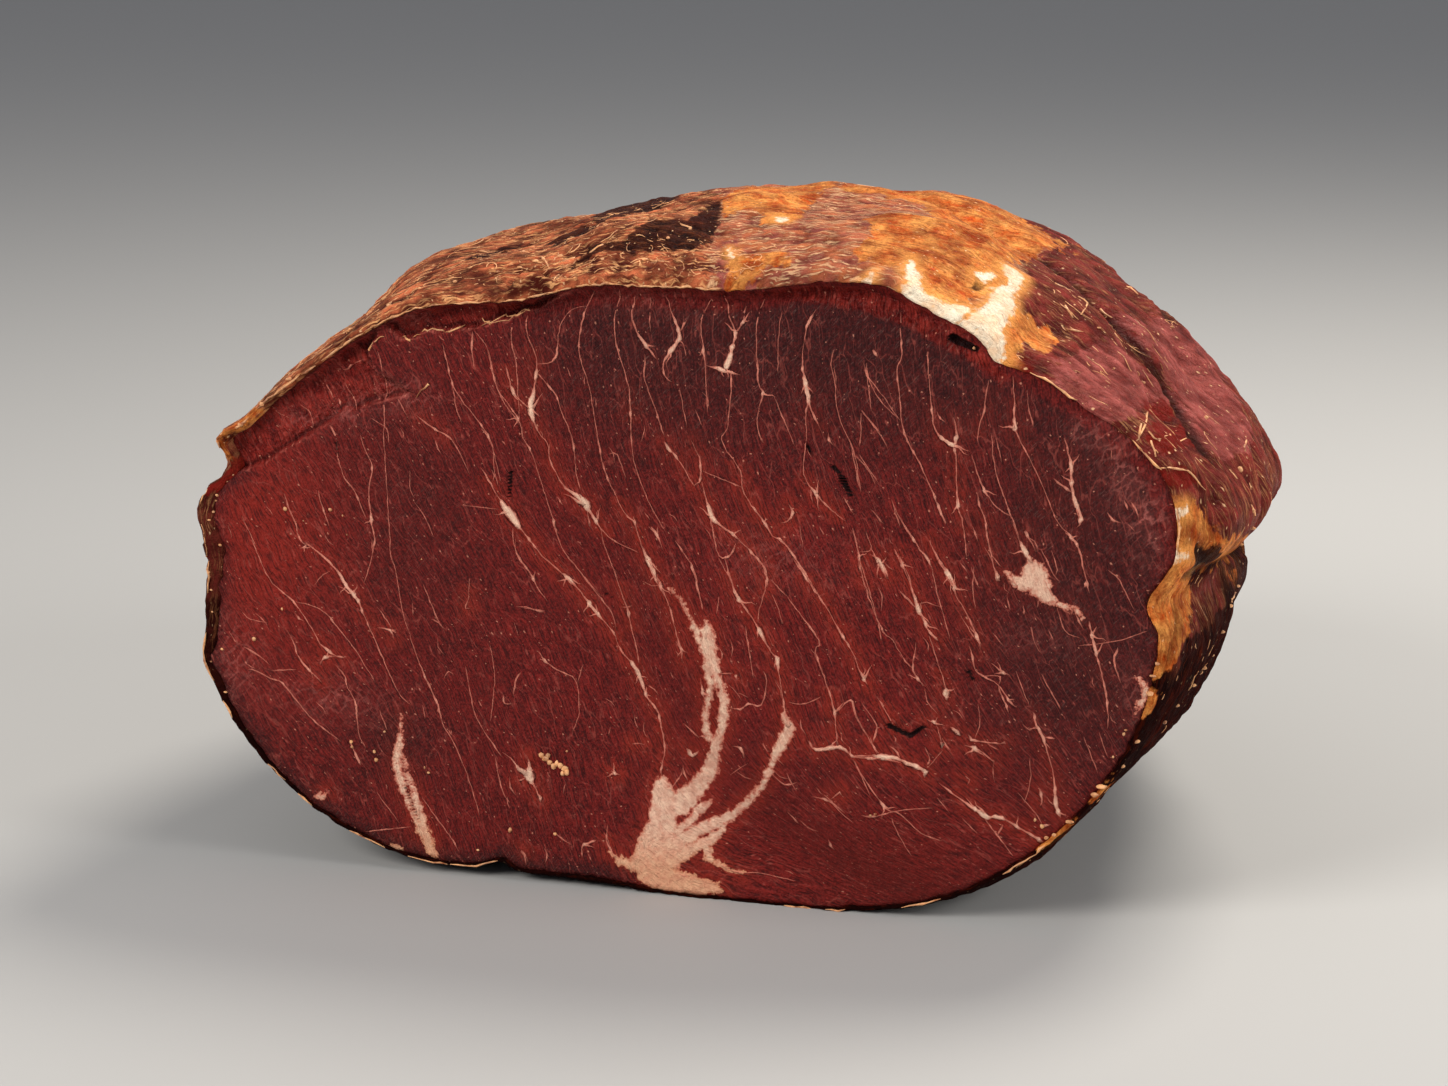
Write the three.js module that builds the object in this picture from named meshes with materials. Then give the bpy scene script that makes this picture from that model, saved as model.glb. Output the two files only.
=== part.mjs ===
// Half of a bresaola: a dried round of beef, cut straight across.
// The cut faces -Y, the tied and puckered end points along +Y, and the crust lies between them.
// Millimetres, +Z up, resting on the flat that its own weight has pressed into its underside.
import * as THREE from 'three';
import { mergeVertices } from 'three/addons/utils/BufferGeometryUtils.js';

// Driving dimensions
const LENGTH = 150;              // from the cut to the tied end
const MIDDLE_HEIGHT = 49.3;      // the middle of the cut, over the board
// Every 15 degrees, anticlockwise from the left: radius of the cut's outline round its middle,
// and how far the crust behind the cut bulges past that outline.
const RIM_RADIUS = [
  77.2, 79.5, 74.2, 65.6, 55.0, 49.8, 49.2, 51.0, 56.6, 63.7, 69.3, 73.9,
  76.0, 78.8, 68.8, 61.8, 56.5, 49.0, 47.2, 48.6, 50.8, 59.0, 65.8, 75.0,
];
const BULGE = [
  2.0, 2.5, 2.5, 2.5, 2.5, 2.5, 2.5, 2.5, 2.5, 2.5, 1.2, 3.0,
  7.1, 6.7, 7.7, 8.4, 8.8, 10.7, 10.3, 8.6, 8.9, 7.4, 5.1, 2.8,
];
const END_FULLNESS = 2.7;        // 2 is an ellipse, more is a blunter end
const END_DRIFT = 2;             // how far the tied end lies to the right of the middle
const END_DROP = 0.6;            // how far the end sinks to the board, as a share of the height
const SAG = 2;                   // how far the weight presses the underside down

// Where the crust meets the cut
const LIP = { proud: 1.1, width: 1.4, from: 40, to: 156 };
const SHADOW_BAND = { depth: 1.3, gap: 2.6, width: 1.1, from: 48, to: 124 };
const UPPER_LEDGE = { depth: 1.3, from: 111, to: 142, reach: 5.4 };
const LEFT_LEDGE = { depth: 1.1, from: 142, to: 170, reach: 6, spread: 0.33 };
const CUT_DISH = 1.2;            // the drying meat has sunk a little in the middle of the cut
const HORN = { at: 165, width: 2, out: 1.8, forward: 2 };
const RIM_FADE = [3, 18];        // notches, lumps and horn die away over this stretch behind the cut
const RIM_NOTCHES = [            // degrees round the rim, half width in degrees, depth
  { at: 168.8, width: 2.2, depth: 1.9 },
  { at: -122, width: 2.2, depth: 1.6 },
  { at: 2.2, width: 3, depth: 2.8 },
  { at: 37, width: 3.2, depth: 2.2 },
];
const RIM_LUMPS = [
  { at: 174, width: 4, depth: -2.4 },
  { at: -168, width: 2.5, depth: -1 },
  { at: 55, width: 4, depth: -0.9 },
];

// Folds and string marks of the crust
const SHOULDER = { at: 7.5, width: 4.5, height: 2.2 };
const CREASE = { at: 1.8, width: 3.6, depth: 3.8 };
const HOLLOW = { at: 21, width: 5, depth: 2.5 };
const FOLD_START = [2, 14];      // the fold grows over this stretch behind the cut
const FOLD_END = [55, 105];      // and fades over this one
const STRING_MARKS = { first: -2.5, pitch: 27, count: 6, climb: 53, depth: 1.9, width: 3 };
const PUCKERS = { count: 11, height: 1.8 };
const UNEVEN = 0.45;             // height of the gentle bumps all over the crust

// Fineness of the solid
const SIDE_STEPS = 30;           // along each side of the square that becomes the cut
const LENGTH_STEPS = 30;
const SIDE_SHARE = 0.72;         // share of the way round to the tied end that the sides take
const RIM_CROWDING = 1.55;       // draws the steps of the cut towards its rim
const CRUST_CROWDING = 1.3;      // draws the steps of the crust towards its rim
const FLANK_CROWDING = 0.4;      // draws the steps round the rim towards left and right

const degrees = (radians) => THREE.MathUtils.radToDeg(radians);
const smooth = (x, from, to) => THREE.MathUtils.smoothstep(x, from, to);
const hump = (x, middle, width) => Math.exp(-(((x - middle) / width) ** 2));

// Height of a window that is 1 between two angles and 0 outside them.
function between(angle, from, to, blend = 5) {
  return smooth(angle, from - blend, from + blend) * (1 - smooth(angle, to - blend, to + blend));
}

// Angular distance, from -180 to 180.
function turnTo(angle, middle) {
  return THREE.MathUtils.euclideanModulo(angle - middle + 180, 360) - 180;
}

// Smooth closed curve through values that are spread evenly round the rim.
function roundRim(values, angle) {
  const count = values.length;
  const place = THREE.MathUtils.euclideanModulo((angle + 180) * count / 360, count);
  const index = Math.floor(place);
  const t = place - index;
  const [a, b, c, d] = [-1, 0, 1, 2].map((step) => values[(index + step + count) % count]);
  return 0.5 * (2 * b + (c - a) * t + (2 * a - 5 * b + 4 * c - d) * t * t
    + (3 * b - a - 3 * c + d) * t * t * t);
}

// How far the notches, lumps and horn move the rim outwards at one angle.
function rimDents(angle) {
  let out = HORN.out * hump(turnTo(angle, HORN.at), 0, HORN.width);
  for (const dent of [...RIM_NOTCHES, ...RIM_LUMPS]) {
    out -= dent.depth * hump(turnTo(angle, dent.at), 0, dent.width);
  }
  return out;
}

// A point of the cut. share is 0 in its middle and 1 on its rim.
function cutPoint(share, angle, target) {
  const outline = roundRim(RIM_RADIUS, angle) + rimDents(angle);
  const gap = outline * (1 - share);
  let y = CUT_DISH * (1 - share ** 2) ** 2;
  y -= LIP.proud * between(angle, LIP.from, LIP.to) * (1 - smooth(gap, 0, LIP.width));
  y += SHADOW_BAND.depth * between(angle, SHADOW_BAND.from, SHADOW_BAND.to)
    * hump(gap, SHADOW_BAND.gap, SHADOW_BAND.width);

  const along = (angle - UPPER_LEDGE.from) / (UPPER_LEDGE.to - UPPER_LEDGE.from);
  if (along > 0 && along < 1) {
    const reach = UPPER_LEDGE.reach * Math.sqrt(Math.sin(Math.PI * along));
    y += UPPER_LEDGE.depth * smooth(gap, LIP.width * 0.5, LIP.width)
      * (1 - smooth(gap, reach - 0.5, reach + 0.5));
  }
  const leftReach = LEFT_LEDGE.reach + LEFT_LEDGE.spread * (LEFT_LEDGE.to - angle);
  y += LEFT_LEDGE.depth * between(angle, LEFT_LEDGE.from, LEFT_LEDGE.to, 2)
    * smooth(gap, LIP.width * 0.5, LIP.width) * (1 - smooth(gap, leftReach - 0.5, leftReach + 0.5));
  y -= HORN.forward * hump(turnTo(angle, HORN.at), 0, HORN.width) * (1 - smooth(gap, 0, 2.5));

  const turn = THREE.MathUtils.degToRad(angle);
  const radius = outline - gap;
  const z = Math.max(0, MIDDLE_HEIGHT + radius * Math.sin(turn));
  return target.set(radius * Math.cos(turn), y, z);
}

// How far the folds, string marks and bumps lift the crust at one place.
function crustRelief(angle, y, share) {
  const fold = smooth(y, ...FOLD_START) * (1 - smooth(y, ...FOLD_END));
  let lift = SHOULDER.height * hump(angle, SHOULDER.at, SHOULDER.width)
    - CREASE.depth * hump(angle, CREASE.at, CREASE.width)
    - HOLLOW.depth * hump(angle, HOLLOW.at, HOLLOW.width);
  lift *= fold;

  // The string ran askew: over the top its marks lie further back than at the sides.
  const turn = THREE.MathUtils.degToRad(angle);
  const climb = STRING_MARKS.climb * Math.max(0, Math.sin(turn));
  const above = between(angle, 4, 200, 10) * smooth(y, 2, 10) * (1 - smooth(share, 0.8, 1));
  for (let mark = 0; mark < STRING_MARKS.count; mark += 1) {
    const middle = STRING_MARKS.first + mark * STRING_MARKS.pitch + climb;
    lift -= STRING_MARKS.depth * above * hump(y, middle, STRING_MARKS.width);
  }

  lift += PUCKERS.height * Math.cos(PUCKERS.count * turn + 2 * Math.sin(2 * turn))
    * smooth(share, 0.5, 0.85) * (1 - smooth(share, 0.9, 1));
  lift += UNEVEN * smooth(y, 2, 12) * (Math.sin(7 * turn + y / 9) + Math.sin(13 * turn - y / 5)
    + Math.sin(y / 4.3 + 3 * turn));
  return lift;
}

// A point of the crust. share is 0 at the rim and 1 at the tied end.
function crustPoint(share, angle, target) {
  const turn = THREE.MathUtils.degToRad(angle);
  const q = Math.sin(share * Math.PI / 2);
  const y = LENGTH * q;
  const taper = Math.max(0, 1 - q ** END_FULLNESS) ** (1 / END_FULLNESS);
  const nearEnd = Math.min(1, 4 * taper);
  const bulge = roundRim(BULGE, angle) * Math.sin(Math.PI * q ** 0.6) * nearEnd;
  const dents = rimDents(angle) * (1 - smooth(y, ...RIM_FADE));
  const relief = crustRelief(angle, y, share) * nearEnd;
  const radius = roundRim(RIM_RADIUS, angle) * taper + dents + bulge + relief;
  const press = SAG * smooth(q, 0.02, 0.15) * THREE.MathUtils.clamp(-1.6 * Math.sin(turn), 0, 1);
  const middle = MIDDLE_HEIGHT * (1 - END_DROP * (1 - taper));
  const z = Math.max(0, middle + radius * Math.sin(turn) - press);
  return target.set(END_DRIFT * q + radius * Math.cos(turn), y, z);
}

// Angle of a place on a square's concentric rings, crowded towards left and right.
function squareAngle(a, c) {
  let turn = 0;
  if (Math.abs(a) >= Math.abs(c)) turn = (a > 0 ? 0 : Math.PI) + (a === 0 ? 0 : (Math.PI / 4) * (c / a));
  else turn = (c > 0 ? 1 : -1) * Math.PI / 2 - (Math.PI / 4) * (a / c);
  return THREE.MathUtils.euclideanModulo(degrees(turn - FLANK_CROWDING * 0.5 * Math.sin(2 * turn)) + 30, 360) - 30;
}

// A box whose front becomes the cut, whose sides become the crust and whose back the tied end.
function makeBresaola() {
  const box = new THREE.BoxGeometry(2, 2, 2, SIDE_STEPS, LENGTH_STEPS, SIDE_STEPS);
  box.deleteAttribute('normal');
  box.deleteAttribute('uv');
  const geometry = mergeVertices(box);
  const places = geometry.getAttribute('position');
  const point = new THREE.Vector3();
  for (let index = 0; index < places.count; index += 1) {
    const [a, b, c] = [places.getX(index), places.getY(index), places.getZ(index)];
    const ring = Math.max(Math.abs(a), Math.abs(c));
    const angle = squareAngle(a, c);
    if (b === -1) cutPoint(1 - (1 - ring) ** RIM_CROWDING, angle, point);
    else if (b === 1) crustPoint(1 - ring * (1 - SIDE_SHARE), angle, point);
    else crustPoint(SIDE_SHARE * ((b + 1) / 2) ** CRUST_CROWDING, angle, point);
    places.setXYZ(index, point.x, point.y, point.z);
  }
  geometry.computeBoundingBox();
  const middle = geometry.boundingBox.getCenter(new THREE.Vector3());
  geometry.translate(-middle.x, -middle.y, -geometry.boundingBox.min.z);
  geometry.computeVertexNormals();
  return geometry;
}

const curedBeef = new THREE.MeshStandardMaterial({ color: 0x5a1f1a, roughness: 0.5, metalness: 0 });
const bresaola = new THREE.Mesh(makeBresaola(), curedBeef);
bresaola.name = 'bresaola';

const group = new THREE.Group();
group.add(bresaola);

export default group;
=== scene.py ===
# The looks of half a bresaola: its marbled cut, its crust, the frills along its rim, and a stage.
import math
import random

import bmesh
import bpy
import numpy as np
from mathutils import Matrix, Vector, noise
from mathutils.bvhtree import BVHTree


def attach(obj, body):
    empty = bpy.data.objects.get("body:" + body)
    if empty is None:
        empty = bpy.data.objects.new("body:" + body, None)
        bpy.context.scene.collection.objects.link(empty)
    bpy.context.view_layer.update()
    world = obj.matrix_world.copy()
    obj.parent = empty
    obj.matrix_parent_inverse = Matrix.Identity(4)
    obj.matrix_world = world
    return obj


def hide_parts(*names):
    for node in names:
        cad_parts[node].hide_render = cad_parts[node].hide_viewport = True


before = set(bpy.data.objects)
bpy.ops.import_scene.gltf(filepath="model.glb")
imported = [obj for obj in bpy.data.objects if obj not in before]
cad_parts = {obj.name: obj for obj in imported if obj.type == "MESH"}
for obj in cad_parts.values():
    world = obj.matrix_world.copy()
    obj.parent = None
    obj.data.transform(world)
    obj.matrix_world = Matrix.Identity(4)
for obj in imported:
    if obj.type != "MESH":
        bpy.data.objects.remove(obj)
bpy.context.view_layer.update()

bl_info = {
    "name": "Bresaola half",
    "version": (1, 0, 0),
    "blender": (4, 5, 0),
    "location": "3D View > Sidebar > Bresaola",
    "description": "Models half a dried beef round with its marbled cut and its crust",
    "category": "Add Mesh",
}

NODE = "bresaola"
MM = 0.001

# ---------------------------------------------------------------------------------------------
# The muscle's own shape, in millimetres from the middle of the cut: X to the right, Y back from
# the cut, Z up from the board. It has the same named sizes as the solid that it dresses.
LENGTH = 150
MIDDLE_HEIGHT = 49.3
RIM_RADIUS = (77.2, 79.5, 74.2, 65.6, 55.0, 49.8, 49.2, 51.0, 56.6, 63.7, 69.3, 73.9,
              76.0, 78.8, 68.8, 61.8, 56.5, 49.0, 47.2, 48.6, 50.8, 59.0, 65.8, 75.0)
BULGE = (2.0, 2.5, 2.5, 2.5, 2.5, 2.5, 2.5, 2.5, 2.5, 2.5, 1.2, 3.0,
         7.1, 6.7, 7.7, 8.4, 8.8, 10.7, 10.3, 8.6, 8.9, 7.4, 5.1, 2.8)
END_FULLNESS = 2.7
END_DRIFT = 2
END_DROP = 0.6
SAG = 2
LIP_PROUD, LIP_WIDTH, LIP_SPAN = 1.1, 1.4, (40, 156)
SHADOW_DEPTH, SHADOW_GAP, SHADOW_WIDTH, SHADOW_SPAN = 1.3, 2.6, 1.1, (48, 124)
CUT_DISH = 1.2
HORN_AT, HORN_WIDTH, HORN_OUT, HORN_FORWARD = 165, 2, 1.8, 2
RIM_FADE = (3, 18)
RIM_DENTS = ((168.8, 2.2, 1.9), (-122, 2.2, 1.6), (2.2, 3, 2.8), (37, 3.2, 2.2),
             (174, 4, -2.4), (-168, 2.5, -1), (55, 4, -0.9))      # degrees, half width, depth
SHOULDER = (7.5, 4.5, 2.2)
CREASE = (1.8, 3.6, 3.8)
HOLLOW = (21, 5, 2.5)
FOLD_START, FOLD_END = (2, 14), (55, 105)
MARK_FIRST, MARK_PITCH, MARK_COUNT, MARK_CLIMB, MARK_DEPTH, MARK_WIDTH = -2.5, 27, 6, 53, 1.9, 3
PUCKER_COUNT, PUCKER_HEIGHT = 11, 1.8
UNEVEN = 0.45
# Radius on which the crust is laid flat, and how far back the cut's slab and the crust's cap reach
FLAT_RADIUS = 62
SLAB_BACK, CAP_BACK = 4.5, 4.2
# Seeds of the random draws
VEIN_SEED, FIBRE_SEED, FRILL_SEED, CRUMB_SEED = 41, 17, 29, 5

# Width of the crust that the cut shows round the meat, every 15 degrees from the left
RIND_WIDTH = (2.3, 1.3, 0.7, 0.6, 0.5, 0.5, 0.4, 0.4, 0.5, 0.5, 0.5, 0.45,
              0.45, 0.4, 0.35, 0.35, 0.35, 0.35, 0.35, 0.35, 0.35, 0.35, 0.5, 1.3)
# Gaps from the rim to the crust's rows in front of it: shares of the radius for the first two,
# and of the crust's width for the others
LIP_ROWS = (1.0, 0.14, 1.4, 1.02, 0.7, 0.4, 0.16, 0.0)
# Golden fibres on the crust: share of them, angles from and to, mm back from and to
FIBRE_FIELDS = ((0.46, 98, 162, 0.4, 40), (0.1, 72, 98, 0.4, 9), (0.05, 26, 42, 2, 34),
                (0.04, 4, 30, 1, 60), (0.04, -40, 6, 0.5, 30), (0.07, 150, 200, 0.4, 20),
                (0.15, 40, 170, 40, 130))
# Golden dried edges along the rim: angles from and to, and degrees of the widest gap
FRILL_SPANS = ((8, 34, 11.0), (80, 163, 1.4), (176, 236, 9.0), (290, 330, 12.0))

# ---------------------------------------------------------------------------------------------
# The photograph's camera, which also places what was read off the cut in pixels
PHOTO_WIDTH, PHOTO_HEIGHT = 1448, 1086
CAMERA_TURN, CAMERA_RISE = math.radians(16), math.radians(13)
CAMERA_DISTANCE = 520
CAMERA_AIM = (8.2, 0.0, 57.2)
LENS, SENSOR = 85, 36

# Thick fat seen on the cut. Each part is a chain, with pixel across, pixel down and width in mm
# for each of its marks.
THICK_FAT = {
    "root": (660,782,2.2, 663,795,4.2, 664,812,4.8, 661,830,5, 656,846,6.2, 653,860,6.8, 656,872,5.6),
    "foot": (652,872,5, 664,879,4.2, 682,883,3.8, 700,886,3, 716,888,2, 725,892,0.5),
    "trunk": (680,804,4.2, 693,792,3.2, 702,781,2.9, 710,769,2.6, 712,757,2.1, 716,742,1.7, 720,730,1.6,
      723,716,1.8, 723,702,1.7, 719,687,1.5, 713,673,2, 709,656,2.4, 706,642,2.5, 705,631,2.2, 705,624,0.6),
    "trunk's left strand": (712,746,1, 705,733,1.3, 704,718,1.2, 706,704,1.3, 709,688,1.4, 707,670,1.5,
      702,653,1.4, 697,640,1.2, 692,629,1.3, 688,618,0.9, 683,609,0.6, 678,600,0.8, 670,592,0.6,
      662,584,0.3),
    "right branch": (672,848,3.4, 693,832,2.2, 711,825,2.2, 724,819,1.6, 737,811,1.4, 750,800,1.2,
      760,788,1.2, 767,776,1.4, 771,764,1, 777,751,1.9, 784,740,1.9, 788,731,2.1, 785,721,1.3, 783,709,0.8),
    "lower band": (672,860,3, 693,848,2.1, 710,841,2, 722,829,1.2, 731,820,0.5),
    "side arm": (675,832,1.6, 686,826,1.5, 693,819,1.6, 700,809,1.5, 708,804,1.2, 712,802,0.3),
    "lower right": (706,843,1.7, 708,858,1.4, 719,864,1.1, 731,870,0.7, 743,873,0.5),
    "foot twig": (611,853,0.8, 621,862,1.6, 633,865,2.2, 645,866,3),
    "right star": (1028,557,0.6, 1032,566,2, 1035,576,4.2, 1040,587,3.6, 1047,597,2.2, 1055,602,1.2,
      1066,607,1.1, 1077,610,1, 1082,619,0.4),
    "right star's left": (1006,574,0.8, 1012,580,1.4, 1022,584,2.4, 1034,582,2.6),
    "left slit's outer lip": (400,713,0.3, 401,730,0.8, 399,745,1.5, 396,760,1.8, 399,777,1.8, 403,790,1.3,
      410,806,1, 417,821,1.1, 423,835,1.7, 430,848,1.8, 436,855,1.2),
    "left slit's inner lip": (400,749,0.6, 404,763,0.8, 409,780,0.9, 414,794,1.4, 418,809,1.5, 423,826,1.6,
      429,840,1.7),
    "low left bead": (316,797,0.6, 321,796,1.3, 328,793,0.6),
    "foot bead": (391,846,0.6, 398,849,1.4, 404,852,0.5),
    "right rim": (1137,677,0.6, 1144,684,1.2, 1147,696,1.5, 1140,705,1.1, 1136,713,0.5),
}

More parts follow.
